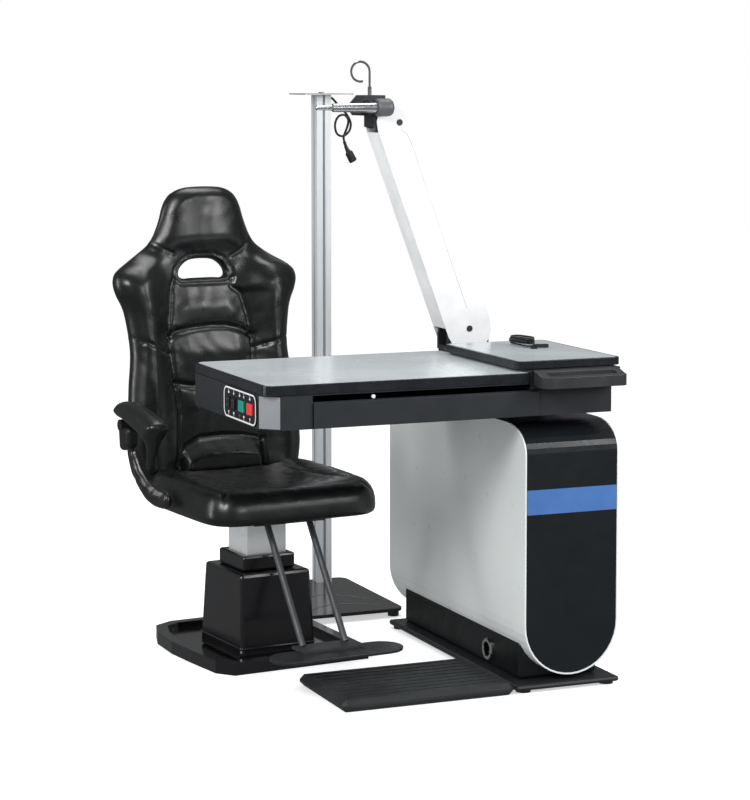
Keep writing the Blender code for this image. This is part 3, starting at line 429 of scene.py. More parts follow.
def even_ring(outline, spacing):
    """A closed outline, smoothed through its corners, as even points."""
    pts = [Vector((a, b, 0)) for a, b in outline]
    ring = smooth_route([*pts[-2:], *pts, *pts[:2]], spacing / 4)
    ring = np.array([(p.x, p.y) for p in ring])
    gap = np.hypot(*(ring - np.array(outline[0])).T)
    half = len(ring) // 2
    first, last = int(np.argmin(gap[:half])), half + int(np.argmin(gap[half:]))
    ring = ring[first:last]
    steps = np.hypot(*np.diff(np.vstack([ring, ring[:1]]), axis=0).T)
    run = np.concatenate([[0], np.cumsum(steps)])
    count = max(8, int(round(run[-1] / spacing)))
    marks = np.arange(count) * run[-1] / count
    closed = np.vstack([ring, ring[:1]])
    return np.stack([np.interp(marks, run, closed[:, 0]), np.interp(marks, run, closed[:, 1])], axis=1)


def offset_ring(ring, distance):
    """The ring moved to its left, which is inward on an anticlockwise one."""
    ahead = np.roll(ring, -2, axis=0) - np.roll(ring, 2, axis=0)
    normal = np.stack([-ahead[:, 1], ahead[:, 0]], axis=1)
    return ring + normal / np.hypot(*normal.T)[:, None] * distance


def upholstered(name, outline, near, far, radius, matrix, spacing=0.006, hole=None, hole_radius=0.020,
                far_radius=None, split=0.5, power=2.0):
    """A padded form between two skins over a plane: near(points) and far(points) give their heights
    along the plane's normal. The edges are rolled to a radius on each side of a line that lies split
    of the way from the far skin to the near one. Returns the mesh in the row frame."""
    far_radius = far_radius or radius
    rings = [(even_ring(outline, spacing), radius, far_radius)]
    if hole is not None:
        rings.append((even_ring(hole, spacing * 0.8)[::-1], hole_radius, hole_radius))
    points, edges = [], []
    for ring, roll, _ in rings:
        for angle in (0, 12, 26, 42, 60, 80):
            moved = offset_ring(ring, roll * (1 - math.cos(math.radians(angle))))
            first = len(points)
            points += [tuple(p) for p in moved]
            if angle == 0:
                edges += [(first + i, first + (i + 1) % len(moved)) for i in range(len(moved))]
    spots = np.array(outline)
    (left, bottom), (right, top) = spots.min(axis=0), spots.max(axis=0)
    rows = int((top - bottom) / (spacing * 0.87)) + 2
    columns = int((right - left) / spacing) + 2
    grid = np.array([(left + (i + 0.5 * (j % 2)) * spacing, bottom + j * spacing * 0.87)
                     for j in range(rows) for i in range(columns)])
    keep = inside(grid, rings[0][0])
    for k, (ring, roll, _) in enumerate(rings):
        gap, _ = polyline_distance(grid, ring, True)
        keep &= gap > roll * 0.83 + spacing * 0.3
        if k:
            keep &= ~inside(grid, ring)
    points += [tuple(p) for p in grid[keep]]
    result = geometry.delaunay_2d_cdt([Vector(p) for p in points], edges, [], 0, 1e-7)
    flat = np.array([tuple(p) for p in result[0]])
    faces = [tuple(f) for f in result[2]]
    middles = np.array([flat[list(f)].mean(axis=0) for f in faces])
    good = inside(middles, rings[0][0])
    if hole is not None:
        good &= ~inside(middles, rings[1][0])
    faces = [f for f, g in zip(faces, good) if g]
    rolled = np.ones((2, len(flat)))
    for ring, *rolls in rings:
        gap, _ = polyline_distance(flat, ring, True)
        for side, roll in enumerate(rolls):
            t = 1 - np.clip(gap / roll, 0, 1)
            rolled[side] = np.minimum(rolled[side], np.clip(1 - t ** power, 0, 1) ** (1 / power))
    front, back = near(flat), far(flat)
    centre = back + (front - back) * split
    count = len(flat)
    skin = np.concatenate([np.column_stack([flat, centre + (front - centre) * rolled[0]]),
                           np.column_stack([flat, centre + (back - centre) * rolled[1]])])
    all_faces = faces + [tuple(i + count for i in reversed(f)) for f in faces]
    mesh = bpy.data.meshes.new(name)
    mesh.from_pydata([tuple(p) for p in skin], [], all_faces)
    shape = bmesh.new()
    shape.from_mesh(mesh)
    bmesh.ops.remove_doubles(shape, verts=shape.verts, dist=0.00002)
    bmesh.ops.recalc_face_normals(shape, faces=shape.faces)
    shape.transform(matrix)
    shape.to_mesh(mesh)
    shape.free()
    return mesh


def step(value, start, end):
    t = np.clip((value - start) / (end - start), 0, 1)
    return t * t * (3 - 2 * t)


def seam(points, path, depth=0.0050, wide=0.0050, pucker=0.0010, pitch=0.021, closed=False):
    """How far a sewn seam pulls the skin in, with small gathers beside it."""
    gap, along = polyline_distance(points, path, closed)
    groove = depth * np.exp(-(gap / wide) ** 2)
    wave = np.sin(along * 2 * math.pi / pitch) * np.sin(along * 2 * math.pi / (pitch * 2.7) + 1.0)
    return groove + pucker * wave * np.exp(-((gap - wide * 1.6) / (wide * 2.4)) ** 2)


def mirrored(half):
    """A closed anticlockwise outline from its right half, listed bottom to top."""
    return half + [(-u, h) for u, h in reversed(half)]


BACK_SIDE = [(0.120, -0.060), (0.212, -0.058), (0.242, -0.040), (0.254, 0.010), (0.256, 0.050),
             (0.252, 0.100), (0.243, 0.200), (0.233, 0.300), (0.245, 0.400), (0.265, 0.450),
             (0.272, 0.480), (0.267, 0.505), (0.250, 0.522), (0.222, 0.540), (0.191, 0.560),
             (0.163, 0.581), (0.147, 0.602), (0.137, 0.622), (0.126, 0.650), (0.117, 0.680),
             (0.106, 0.704), (0.086, 0.724), (0.044, 0.737)]
BACK_SHIFT = 0.009
BACK_OUTLINE = [(u + BACK_SHIFT, h) for u, h in mirrored(BACK_SIDE)]
NECK_HOLE = mirrored([(0.030, 0.4900), (0.056, 0.4890), (0.0690, 0.497), (0.0660, 0.514), (0.050, 0.531),
                      (0.025, 0.541)])
NECK_RING = mirrored([(0.040, 0.4740), (0.070, 0.474), (0.0880, 0.490), (0.0840, 0.514), (0.064, 0.541),
                      (0.032, 0.554)])
LEFT_SEAM = [(-0.090, 0.487), (-0.097, 0.471), (-0.106, 0.400), (-0.113, 0.338), (-0.108, 0.270),
             (-0.101, 0.210), (-0.095, 0.120), (-0.100, 0.040), (-0.108, -0.060)]
RIGHT_SEAM = [(0.088, 0.487), (0.0805, 0.463), (0.108, 0.443), (0.125, 0.385), (0.134, 0.330), (0.136, 0.300),
              (0.135, 0.260), (0.131, 0.180), (0.140, 0.100), (0.152, 0.040), (0.157, -0.060)]
UPPER_CREASE = [(-0.112, 0.330), (-0.090, 0.345), (-0.045, 0.353), (0.010, 0.357), (0.060, 0.355),
                (0.105, 0.343), (0.134, 0.325)]
LOWER_CREASE = [(-0.100, 0.205), (-0.060, 0.196), (0.000, 0.192), (0.070, 0.196), (0.130, 0.206)]
BASE_CREASE = [(-0.106, -0.016), (-0.0875, 0.029), (-0.042, 0.053), (0.024, 0.056), (0.090, 0.052),
               (0.150, 0.040)]
WING_SEAMS = ([(-0.225, 0.334), (-0.188, 0.318), (-0.150, 0.298), (-0.112, 0.286)],
              [(0.164, 0.299), (0.200, 0.308), (0.238, 0.318)], [(0.136, 0.290), (0.164, 0.299)],
              [(-0.150, 0.592), (-0.122, 0.574), (-0.086, 0.556)],
              [(0.084, 0.545), (0.116, 0.562), (0.146, 0.592)])


def backrest():
    """Wings that stand forward of a channelled middle panel, a neck opening and a headrest."""

    def level(path, h):
        return np.interp(h, [q[1] for q in path[::-1]], [abs(q[0]) for q in path[::-1]])

    def front(p):
        u, h = p[:, 0], p[:, 1]
        sewn = np.where(u < 0, level(LEFT_SEAM, h), level(RIGHT_SEAM, h))
        rim = np.interp(h, [q[1] for q in BACK_SIDE], [q[0] for q in BACK_SIDE]) + np.sign(u) * BACK_SHIFT
        beyond = np.abs(u) - sewn
        part = beyond / np.maximum(rim - sewn, 0.03)
        body = 1 - step(h, 0.470, 0.570)
        panel = 0.047 - 0.043 * body * step(part, -0.08, 0.62)
        panel += 0.020 * body * step(part, 0.50, 1.10)
        shoulder = np.exp(-((np.abs(u) - 0.205) / 0.050) ** 2 - ((h - 0.450) / 0.075) ** 2)
        panel -= 0.007 * shoulder
        inner = step(-beyond, 0.000, 0.055) * body
        pillow = np.exp(-((h - 0.405) / 0.042) ** 2) * 0.011 + np.exp(-((h - 0.290) / 0.050) ** 2) * 0.010
        pillow += np.exp(-((h - 0.130) / 0.050) ** 2) * 0.006
        arch = np.interp(u, [q[0] for q in BASE_CREASE], [q[1] for q in BASE_CREASE])
        base = step(arch - h, -0.006, 0.056) * step(-beyond, -0.004, 0.030)
        panel -= inner * pillow + 0.024 * base
        head = step(h, 0.515, 0.610)
        panel = panel * (1 - head) + head * (0.016 + 0.034 * np.abs((u - BACK_SHIFT) / 0.135) ** 2.4)
        panel += 0.005 * np.exp(-((h - 0.562) / 0.020) ** 2) * (1 - step(np.abs(u), 0.070, 0.140))
        panel += seam(p, LEFT_SEAM, 0.0080, 0.0050, 0.0004) + seam(p, RIGHT_SEAM, 0.0080, 0.0050, 0.0004)
        panel += seam(p, UPPER_CREASE, 0.0100, 0.0085, 0.0) * body
        panel += seam(p, LOWER_CREASE, 0.0090, 0.0085, 0.0) * body
        panel += seam(p, BASE_CREASE, 0.0050, 0.0060, 0.0)
        for path in WING_SEAMS:
            panel += seam(p, path, 0.0050, 0.0038, 0.0007, 0.015)
        panel += seam(p, NECK_RING, 0.0055, 0.0040, 0.0003, 0.013, True)
        drape = np.sin(u * 61 + 5 * np.sin(h * 23)) * np.sin(h * 37 + 3 * np.sin(u * 29))
        return -(panel + 0.0005 * drape)

    def back(p):
        u, h = p[:, 0], p[:, 1]
        skin = 0.088 - 0.006 * step(h, 0.50, 0.62) + 0.0005 * np.sin(u * 43) * np.sin(h * 31)
        rim = offset_ring(even_ring(BACK_OUTLINE, 0.006), 0.034)
        skin -= seam(p, rim, 0.0035, 0.0035, 0.0006, 0.019, True)
        return -(skin - seam(p, NECK_RING, 0.004, 0.004, 0.0, closed=True))

    # In this plane the outline is (u, h) and the normal points at the sitter, so heights are negative depths.
    plane = BACK_FRAME @ Matrix.Rotation(math.pi / 2, 4, "X")
    mesh = upholstered("backrest_leather", BACK_OUTLINE, front, back, 0.034, plane, 0.0055,
                       NECK_HOLE, 0.013)
    piece = add("backrest_leather", mesh, leather("leather_back"), "seat", 180)
    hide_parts("backrest")


SEAT_HALF, SEAT_FRONT, SEAT_BACK = 0.2470, -0.2710, 0.207
SEAT_OUTLINE = mirrored([(0.100, SEAT_FRONT), (0.178, SEAT_FRONT + 0.004), (0.222, SEAT_FRONT + 0.030),
                         (0.2420, SEAT_FRONT + 0.078), (SEAT_HALF, -0.090), (SEAT_HALF, 0.070),
                         (0.240, 0.140), (0.215, 0.192), (0.150, SEAT_BACK)])


def seat_cushion():
    """A dished top between side bolsters, with a rolled front and a thin under skin."""
    edge_line = offset_ring(even_ring(SEAT_OUTLINE, 0.008), 0.030)

    def top(p):
        u, v = p[:, 0], p[:, 1]
        level = 0.0790 - 0.013 * np.exp(-((u / 0.15) ** 2 + ((v - 0.02) / 0.16) ** 2))
        level += 0.013 * step(np.abs(u), 0.110, 0.200) * step(v, -0.25, -0.06)
        level += 0.0060 * np.exp(-((v + 0.195) / 0.050) ** 2)
        for side in (-1, 1):
            level -= seam(p, [(side * 0.150, 0.215), (side * 0.152, 0.060), (side * 0.158, -0.075),
                              (side * 0.180, -0.150)], 0.0035, 0.0075, 0.0003, 0.023)
            level -= seam(p, [(side * 0.172, -0.205), (side * 0.212, -0.243)], 0.0050, 0.0035, 0.0016, 0.012)
        level += 0.0009 * np.sin(u * 47 + 4 * np.sin(v * 31)) * np.sin(v * 39 + 3 * np.sin(u * 33))
        return level

    def under(p):
        return np.full(len(p), 0.0005) + seam(p, edge_line, 0.002, 0.004, 0.0, closed=True)

    plane = CHAIR_FRAME @ Matrix.Translation((0, 0, low("seat_cushion").z))
    mesh = upholstered("seat_leather", SEAT_OUTLINE, top, under, 0.044, plane, 0.006,
                       far_radius=0.014, split=0.24, power=2.3)
    piece = add("seat_leather", mesh, leather("leather_seat"), "seat", 180)
    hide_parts("seat_cushion")


ELBOW_U, PAD_HALF = -0.311, 0.0315
PAD_SHAPE = [(-0.083, 0.634), (-0.077, 0.620), (-0.065, 0.608), (-0.055, 0.590), (-0.043, 0.563), (-0.030, 0.538),
             (-0.018, 0.523), (-0.006, 0.522), (-0.001, 0.534), (-0.009, 0.556), (-0.015, 0.580), (-0.010, 0.598),
             (0.008, 0.607), (0.040, 0.615), (0.080, 0.6235), (0.120, 0.6325), (0.152, 0.6360), (0.168, 0.645),
             (0.172, 0.657), (0.164, 0.671), (0.142, 0.6800), (0.100, 0.6825), (0.060, 0.6795), (0.015, 0.6730),
             (-0.030, 0.6640), (-0.064, 0.6550), (-0.079, 0.6470)]


def armrest():
    """The pad with the hooked grip under its front."""

    def face(p):
        v, z = p[:, 0], p[:, 1]
        slim = step(-z, -0.618, -0.585)
        crown = PAD_HALF - 0.0130 * slim - 0.0060 * step(-z, -0.590, -0.530)
        crown = crown - seam(p, [(-0.060, 0.620), (-0.020, 0.6235), (0.040, 0.631), (0.110, 0.6415),
                                (0.170, 0.650)], 0.0012, 0.0028, 0.0005)
        return crown + 0.0005 * np.sin(v * 83) * np.sin(z * 61)

    side_on = Matrix(((0, 0, 1, 0), (1, 0, 0, 0), (0, 1, 0, 0), (0, 0, 0, 1)))
    plane = CHAIR_FRAME @ Matrix.Translation((ELBOW_U, 0, 0)) @ side_on
    mesh = upholstered("armrest_leather", PAD_SHAPE, face, lambda p: -face(p), 0.0255, plane, 0.0040,
                       power=2.1)
    look = leather("leather_pad", roughness=0.40)
    piece = add("armrest_leather", mesh, look, "armrest", 180)
    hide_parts("armrest_pad")


SLEEVE_THICK, SLEEVE_SIDES, SLEEVE_CAP = 0.0118, 24, 3      # half thickness, points round it, rows in a cap


def sleeve():
    """A flat leather sleeve round the bent bar: wide along the seat, narrow at the elbow."""
    stops = [(0.2630, -0.030, 0.4360, 0.017), (0.2645, -0.022, 0.4368, 0.0245), (0.2690, 0.000, 0.4390, 0.0265),
             (0.2790, 0.032, 0.4450, 0.0260), (0.2880, 0.060, 0.4590, 0.0240), (0.2960, 0.082, 0.4850, 0.0205),
             (0.3020, 0.102, 0.5240, 0.0175), (0.3045, 0.112, 0.5580, 0.0150)]
    route = smooth_route([Vector((-a, b, c)) for a, b, c, _ in stops], 0.004)
    sizes = np.interp(np.linspace(0, 1, len(route)), np.linspace(0, 1, len(stops)), [s[3] for s in stops])
    around, last = SLEEVE_SIDES, len(route) - 1
    rows = []
    for i, (place, wide) in enumerate(zip(route, sizes)):
        ahead = (route[min(i + 1, last)] - route[max(i - 1, 0)]).normalized()
        out = Vector((-1, 0, 0))
        out = (out - ahead * out.dot(ahead)).normalized()
        up = ahead.cross(out)
        inward = min(i, last - i, SLEEVE_CAP) / SLEEVE_CAP
        cap = max(math.sqrt(1 - (1 - inward) ** 2), 0.15)
        row = []
        for k in range(around):
            t = 2 * math.pi * k / around
            fold = 1 + 0.08 * math.sin(i * 0.5 + 2.0 * math.sin(2 * t)) + 0.02 * math.sin(i * 1.3 + 3 * t)
            welt = 0.0020 if k % (around // 2) == around // 4 else 0.0
            aside = out * (SLEEVE_THICK * math.cos(t) * fold)
            row.append(place + (aside + up * ((wide + welt) * math.sin(t))) * cap)
        rows.append(row)

    def build(shape):
        rings = [[shape.verts.new(p) for p in row] for row in rows]
        for first, second in zip(rings, rings[1:]):
            for k in range(around):
                shape.faces.new((first[k], first[(k + 1) % around], second[(k + 1) % around], second[k]))
        shape.faces.new(rings[0][::-1])
        shape.faces.new(rings[-1])
        bmesh.ops.recalc_face_normals(shape, faces=shape.faces)

    mesh = from_bmesh("sleeve", build, CHAIR_FRAME)
    look = leather("leather_sleeve", (0.010, 0.010, 0.011), 0.30)
    piece = add("sleeve", mesh, look, "seat", 60)
    smooth = piece.modifiers.new("smooth", "SUBSURF")
    smooth.levels = 1
    smooth.render_levels = 1
    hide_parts("armrest_bracket")


BARREL = Vector((-0.308, 0.150, 0.617))      # middle of the armrest's hinge


def knuckle():
    """The moulded block and barrel under the back of the armrest, where it hinges."""

    def build(shape):
        bmesh.ops.create_cube(shape, size=2)
        for vert in shape.verts:
            lower, ahead = vert.co.z < 0, vert.co.y < 0
            half_wide = 0.0155 if lower else 0.0185
            foot = 0.5600 if ahead else 0.5460
            vert.co = Vector((BARREL.x + vert.co.x * half_wide, 0.100 if ahead else 0.1655,
                              foot if lower else 0.6160))
        bmesh.ops.bevel(shape, geom=shape.edges[:], offset=0.016, segments=6, profile=0.55, affect="EDGES")
        across = Matrix.Translation(BARREL) @ Matrix.Rotation(math.pi / 2, 4, "Y")
        bmesh.ops.create_cone(shape, cap_ends=True, segments=40, radius1=0.0152, radius2=0.0152,
                              depth=0.036, matrix=across)

    mesh = from_bmesh("armrest_knuckle", build, CHAIR_FRAME)
    add("armrest_knuckle", mesh, moulded("knuckle_black", BLACK, 0.42), "seat")


# ---------------------------------------------------------------- cords
LEAD_RADIUS = 0.0025
HANK_TURNS, TURN_STEPS, STEPS_SHORT = 4, 24, 10      # the last turn stops short, where the tail leaves it
LAYER, HANK_HALF_WIDE = 0.0052, 0.0150


def lamp_lead():
    """The lead comes up through the sliding top, makes a bundle of loops and ends in a tail."""
    gland = middle("cord_gland")
    plug = middle("lead_plug")
    rise = SLIDE_TOP + 0.0063
    base = SLIDE_TOP + 0.0012 + LEAD_RADIUS
    near = Vector((gland.x + 0.0045, gland.y + 0.0440, 0))
    far = Vector((gland.x - 0.0043, gland.y + 0.1020, 0))
    along = (far - near).normalized()
    across = Vector((-along.y, along.x, 0))
    points = [Vector((gland.x, gland.y, rise)), Vector((gland.x, gland.y, rise + 0.007)),
              Vector((gland.x + 0.003, gland.y + 0.008, rise + 0.0165)),
              Vector((gland.x + 0.009, gland.y + 0.020, rise + 0.0190))]
    half = (far - near).length / 2
    for k in range(HANK_TURNS * TURN_STEPS - STEPS_SHORT):
        t = k / TURN_STEPS
        wide = HANK_HALF_WIDE - 0.0012 * math.sin(t * 2.6)
        slip = 0.003 * math.sin(t * 2.1)
        bow, side = math.sin(math.tau * t - 0.5), math.cos(math.tau * t - 0.5)
        reach = half * math.tanh(2.2 * bow) / math.tanh(2.2) + wide * 0.85 * bow - slip
        spot = (near + far) / 2 + along * reach - across * (wide * side)
        points.append(spot + Vector((0, 0, base + LAYER * (HANK_TURNS - t))))
    tail = Vector((plug.x - 0.0166, plug.y + 0.0054, plug.z))
    points += [Vector((gland.x - 0.0090, gland.y + 0.0240, base + 0.0010)),
               Vector((gland.x - 0.0025, gland.y + 0.0160, base + 0.0016)), tail]
    route = smooth_route(points, 0.004)
    look = rubber("lead_rubber", (0.012, 0.012, 0.013), 0.38)
    cord = line("lamp_lead_cord", route, LEAD_RADIUS, look, "slide_top")
    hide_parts("lamp_lead", "lead_hank")


CORD_RADIUS = 0.0034


def projector_cord():
    """The mains cord of the projector hangs from the top of its column in one loop."""
    face_x, mid_y = high("projector_column").x, middle("projector_column").y
    exit_z = middle("cord_grommet").z
    shift = face_x - (0.662 + 0.0225)
    start_x = face_x + 0.0063
    route = [(start_x, 0.0, exit_z), (start_x + 0.009, 0.001, 1.4610)]
    route += [(x + shift, y, z) for x, y, z in (
        (0.7164, 0.004, 1.4444), (0.7350, 0.008, 1.4280), (0.7500, 0.011, 1.4115), (0.7592, 0.009, 1.3905),
        (0.7540, 0.002, 1.3710), (0.7400, -0.005, 1.3575), (0.7238, -0.009, 1.3518), (0.7085, -0.010, 1.3590),
        (0.7029, -0.008, 1.3771), (0.7070, -0.003, 1.3960), (0.7190, 0.000, 1.4110), (0.7350, -0.001, 1.4140),
        (0.7460, -0.003, 1.4020), (0.7470, 0.001, 1.3850), (0.7420, 0.006, 1.3660), (0.7375, 0.008, 1.3530),
        (0.7361, 0.007, 1.3450), (0.7380, 0.006, 1.3330), (0.7410, 0.006, 1.3260))]
    route = smooth_route([Vector((x, mid_y + y, z)) for x, y, z in route], 0.005)
    look = rubber("projector_cord_rubber", (0.013, 0.013, 0.014), 0.40)
    cord = line("projector_cord_line", route, CORD_RADIUS, look, "base")
    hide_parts("projector_cord")
    ahead = (route[-1] - route[-3]).normalized()
    boot_route = [route[-1] + ahead * distance for distance in (-0.010, -0.004, 0.006)]
    boot = line("connector_boot", boot_route, 0.0046, look, "base")


# ---------------------------------------------------------------- small details
def facing(x, y, z, normal="-Y"):
    """A matrix that stands a flat outline up on a face: its own x runs right and y up, seen from outside."""
    turn = {"-Y": Matrix.Rotation(math.pi / 2, 4, "X"),
            "-X": Matrix(((0, 0, -1, 0), (-1, 0, 0, 0), (0, 1, 0, 0), (0, 0, 0, 1)))}[normal]
    return Matrix.Translation((x, y, z)) @ turn


def cabinet_details():
    """The plain band on the front, and assumed screw heads and vent slots on the back; the slots are flat dark
    tiles whose colour is painted shade.
    """
    box_low, box_high = low("cabinet_front"), high("cabinet_front")
    centre = (box_low.x + box_high.x) / 2
    half = (box_high.x - box_low.x) / 2 - 0.0006
    blue = moulded("band_blue", (0.060, 0.165, 0.430), 0.34, 0.00002)
    tile("front_band", rounded(-half, -0.031, half, 0.031, 0.0008, 2), 0.0006,
         facing(centre, box_low.y - 0.0001, 0.476), blue, "base")
    # Painted shade: the vent slots are drawn as thin dark tiles on the back, and their dark colour stands for the
    # shadow inside the slots.
    rim = moulded("painted_vent_shade", (0.006, 0.006, 0.007), 0.6)
    screw = metal("cabinet_screw", (0.30, 0.31, 0.32), 0.35, (1, 1, 1))
    rear = high("cabinet_rear")
    for i, (dx, z) in enumerate(((-0.105, 0.62), (0.105, 0.62), (-0.105, 0.22), (0.105, 0.22))):
        disc(f"rear_screw_{i}", (centre + dx, rear.y, z), (0, 1, 0), 0.0045, 0.0018, screw,
             "base", 16)
    for i in range(7):
        tile(f"rear_vent_{i}", rounded(-0.045, -0.0022, 0.045, 0.0022, 0.0021, 3), 0.0005,
             Matrix.Translation((centre, rear.y, 0.40 + i * 0.014)) @ Matrix.Rotation(-math.pi / 2, 4, "X"),
             rim, "base")


def panel_details():
    """The panel's white outline, plain printed marks and the dots on its dark keys."""
    face = low("control_panel")
    top = high("control_panel")
    mid_y, mid_z = (face.y + top.y) / 2, (face.z + top.z) / 2
    wide, tall = (top.y - face.y) / 2, (top.z - face.z) / 2
    white = moulded("print_white", (0.80, 0.81, 0.82), 0.4, 0.00001)
    place = facing(face.x - 0.00005, mid_y, mid_z, "-X")
    outer = rounded(-wide + 0.0012, -tall + 0.0012, wide - 0.0012, tall - 0.0012, 0.0208, 8)
    inner = rounded(-wide + 0.0050, -tall + 0.0050, wide - 0.0050, tall - 0.0050, 0.0170, 8)
    tile("panel_outline", outer, 0.0004, place, white, "table", hole=inner)
    key = moulded("key_dark", (0.060, 0.062, 0.066), 0.30)
    for name in ("left_rocker", "right_rocker"):
        centre, size = middle(name), high(name) - low(name)
        for k, sign in enumerate((-1, 1)):
            spot = (low(name).x, centre.y, centre.z + sign * size.z * 0.24)
            disc(f"{name}_dot_{k}", spot, (-1, 0, 0), 0.0034, 0.0008, key, name, 20)
    faint = moulded("print_red", (0.420, 0.060, 0.060), 0.4, 0.00001)
    columns = [middle(n).y for n in ("left_rocker", "right_rocker")]
    green_y, red_y = middle("green_switch").y, middle("red_switch").y
    columns += [green_y + 0.016, green_y - 0.014, red_y + 0.002]
    for c, y in enumerate(columns):
        for r, z in enumerate((mid_z - 0.0240, mid_z + 0.0240)):
            ink = faint if (c, r) == (2, 0) else white
            across = 0.0040 if (c + r) % 2 else 0.0028
            beyond = 0.0062 if r else -0.0062
            tile(f"panel_mark_{c}_{r}", rounded(-across, -0.0026, across, 0.0026, 0.0010, 3), 0.0003,
                 facing(face.x - 0.00005, y, z, "-X"), ink, "table")
            tile(f"panel_tick_{c}_{r}", rounded(-0.0010, -0.0018, 0.0010, 0.0018, 0.0004, 2), 0.0003,
                 facing(face.x - 0.00005, y, z + beyond, "-X"), ink, "table")


def arm_details():
    """Pivot caps and the pressed line along the broad face of the arm, drawn as a grey bead of painted shade."""
    front, back = low("arm_cover_front").y, high("arm_cover_rear").y
    pivots = {j["name"]: Vector(j["pos_m"]) for j in frame["joints"]
              if j["name"] in ("arm_tilt", "head_level")}
    foot, head = pivots["arm_tilt"], pivots["head_level"]
    dark = moulded("pivot_cap", (0.020, 0.021, 0.023), 0.4)
    for name, spot in (("foot", foot), ("head", head)):
        for side, y, out in (("front", front, -1), ("rear", back, 1)):
            disc(f"pivot_cap_{name}_{side}", (spot.x, y, spot.z), (0, out, 0), 0.0085, 0.0022, dark,
                 "arm")
    along = Vector((head.x - foot.x, 0, head.z - foot.z)).normalized()
    across = Vector((along.z, 0, -along.x))
    # Painted shade: the grey bead stands for the shadow in the pressed groove on the white arm.
    grey = moulded("arm_groove_shade", (0.60, 0.615, 0.64), 0.5, 0.00001)
    start = foot + along * 0.055 + across * 0.012
    end = head - along * 0.050 + across * 0.012
    bend = end + along * 0.030 - across * 0.016
    stops = (start, (start * 2 + end) / 3, (start + end * 2) / 3, end, bend)
    for name, y in (("front", front - 0.0001), ("rear", back + 0.0001)):
        route = smooth_route([Vector((p.x, y, p.z)) for p in stops], 0.02)
        line(f"arm_groove_shade_{name}", route, 0.0009, grey, "arm", 2)


def column_details():
    """The screw on the tray and the two curved grooves of the foot, drawn as grey beads of painted highlight."""
    top = high("projector_tray")
    centre = middle("projector_tray")
    screw = metal("tray_screw", (0.20, 0.20, 0.21), 0.35, (1, 1, 1))
    disc("tray_screw", (centre.x, centre.y, top.z), (0, 0, 1), 0.0080, 0.0040, screw, "base", 24)
    base = high("column_base")
    mid = middle("column_base")
    # Painted highlight: the grey beads are lighter than the gloss black foot and stand for light caught along the
    # grooves.
    groove = moulded("base_groove_highlight", (0.16, 0.165, 0.17), 0.25)
    for i, bow in enumerate((0.055, 0.095)):
        route = [Vector((mid.x - 0.11 + 0.22 * k / 16, low("column_base").y + 0.06 + i * 0.09
                         + bow * math.sin(math.pi * k / 16), base.z)) for k in range(17)]
        line(f"base_groove_highlight_{i}", route, 0.0011, groove, "base", 2)


def table_details():
    """The knob in the front slot and the screw on the carriage's front."""
    knob_place = CORNER + Vector((0.276, 0.004, 0.763))
    white = moulded("knob_white", (0.80, 0.81, 0.80), 0.35)
    disc("slot_knob", knob_place, (0, -1, 0), 0.0048, 0.0050, white, "table", 20)
    screw = metal("strip_screw", (0.70, 0.71, 0.72), 0.3, (1, 1, 1))
    front = low("slide_carriage")
    disc("carriage_screw", (CORNER.x + 0.716, front.y, 0.775), (0, -1, 0), 0.0030, 0.0012, screw, "slide_top",
         16)


def chair_details():
    """The raised band round the foot of the shroud."""
    gloss = NODES["chair_shroud"].data.materials[0]
    ring = []
    for a, b in rounded(-0.1085, -0.1285, 0.1085, 0.1285, 0.010, 4):
        ring.append(CHAIR_FRAME @ Vector((a * 0.985, b * 0.985, 0.052)))
    line("shroud_band", ring, 0.0028, gloss, "base", 3, True)


# ---------------------------------------------------------------- room
def floor():
    floor_look = Look("floor_paint", (0.93, 0.935, 0.94), 0.55, specular=0.2).mottle(0.8, 0.01)
    floor_look.smudge(3, 0.05)
    floor_look.shader.inputs["Emission Color"].default_value = (1, 1, 1, 1)
    floor_look.shader.inputs["Emission Strength"].default_value = 0.52
    mesh = bpy.data.meshes.new("floor")
    size = 14.0
    corners = [(x * size, y * size, -0.0002) for x, y in ((-1, -1), (1, -1), (1, 1), (-1, 1))]
    mesh.from_pydata(corners, [], [(0, 1, 2, 3)])
    sheet = bpy.data.objects.new("floor", mesh)
    bpy.context.scene.collection.objects.link(sheet)
    mesh.materials.append(floor_look.material)
    sheet.visible_diffuse = False
    sheet.visible_glossy = False


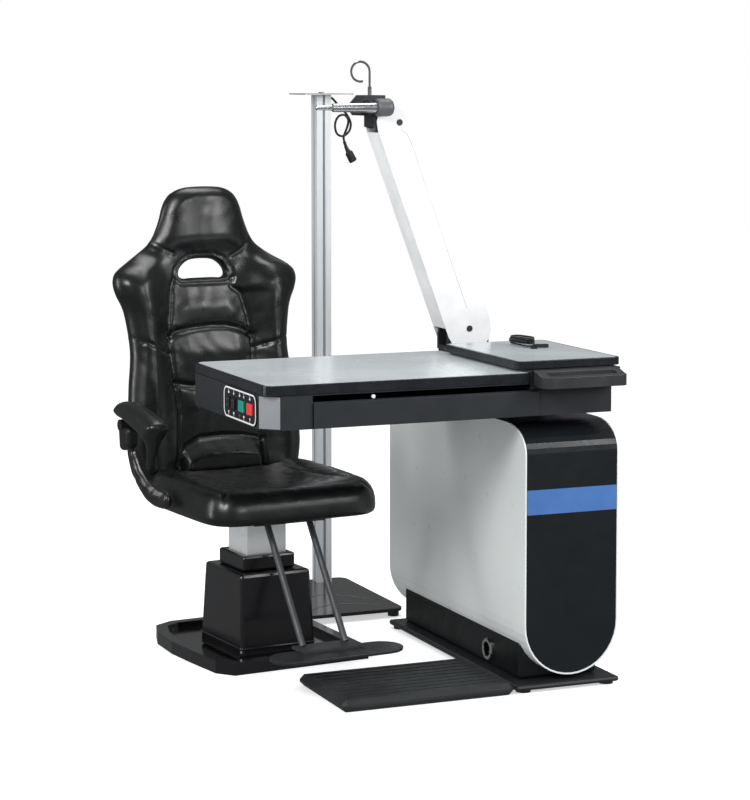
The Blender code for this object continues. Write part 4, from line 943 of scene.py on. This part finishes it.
def surroundings():
    """A white surround that the lens sees brighter than the object does."""
    world = bpy.data.worlds.new("studio")
    bpy.context.scene.world = world
    world.use_nodes = True
    tree = world.node_tree
    rays = tree.nodes.new("ShaderNodeLightPath")
    shade = tree.nodes["Background"]
    for ray, strength in (("Is Diffuse Ray", 0.62), ("Is Glossy Ray", 0.16), ("Is Camera Ray", 1.0)):
        light = tree.nodes.new("ShaderNodeBackground")
        light.inputs["Color"].default_value = (0.97, 0.985, 1.0, 1) if strength < 1 else (1, 1, 1, 1)
        light.inputs["Strength"].default_value = strength
        mix = tree.nodes.new("ShaderNodeMixShader")
        tree.links.new(rays.outputs[ray], mix.inputs["Fac"])
        tree.links.new(shade.outputs[0], mix.inputs[1])
        tree.links.new(light.outputs[0], mix.inputs[2])
        shade = mix
    tree.links.new(shade.outputs[0], tree.nodes["World Output"].inputs["Surface"])


def lamps():
    for name, place, aim, wide, tall, power in (
            ("key", (-3.3, -2.6, 3.0), (-0.1, 0, 0.8), 1.1, 1.6, 95),
            ("top", (0.4, 0.4, 4.0), (0, 0, 0.6), 2.4, 1.8, 60),
            ("left", (-3.8, 0.6, 1.4), (0, 0, 0.8), 0.5, 2.4, 34),
            ("right", (2.6, -3.0, 2.4), (0.0, 0, 0.8), 1.2, 1.8, 60),
            ("front", (0.6, -4.4, 1.9), (-0.1, 0, 0.7), 1.4, 0.8, 26)):
        light = bpy.data.lights.new(name, "AREA")
        light.shape = "RECTANGLE"
        light.size, light.size_y = wide, tall
        light.energy = power
        lamp = bpy.data.objects.new(name, light)
        bpy.context.scene.collection.objects.link(lamp)
        lamp.location = place
        lamp.visible_camera = False
        lamp.rotation_euler = (Vector(aim) - Vector(place)).to_track_quat("-Z", "Y").to_euler()


camera()
lamp_lead()
projector_cord()
node_looks()
backrest()
seat_cushion()
armrest()
sleeve()
knuckle()
cabinet_details()
panel_details()
arm_details()
column_details()
table_details()
chair_details()
floor()
surroundings()
lamps()
bpy.context.scene.view_settings.view_transform = "Standard"
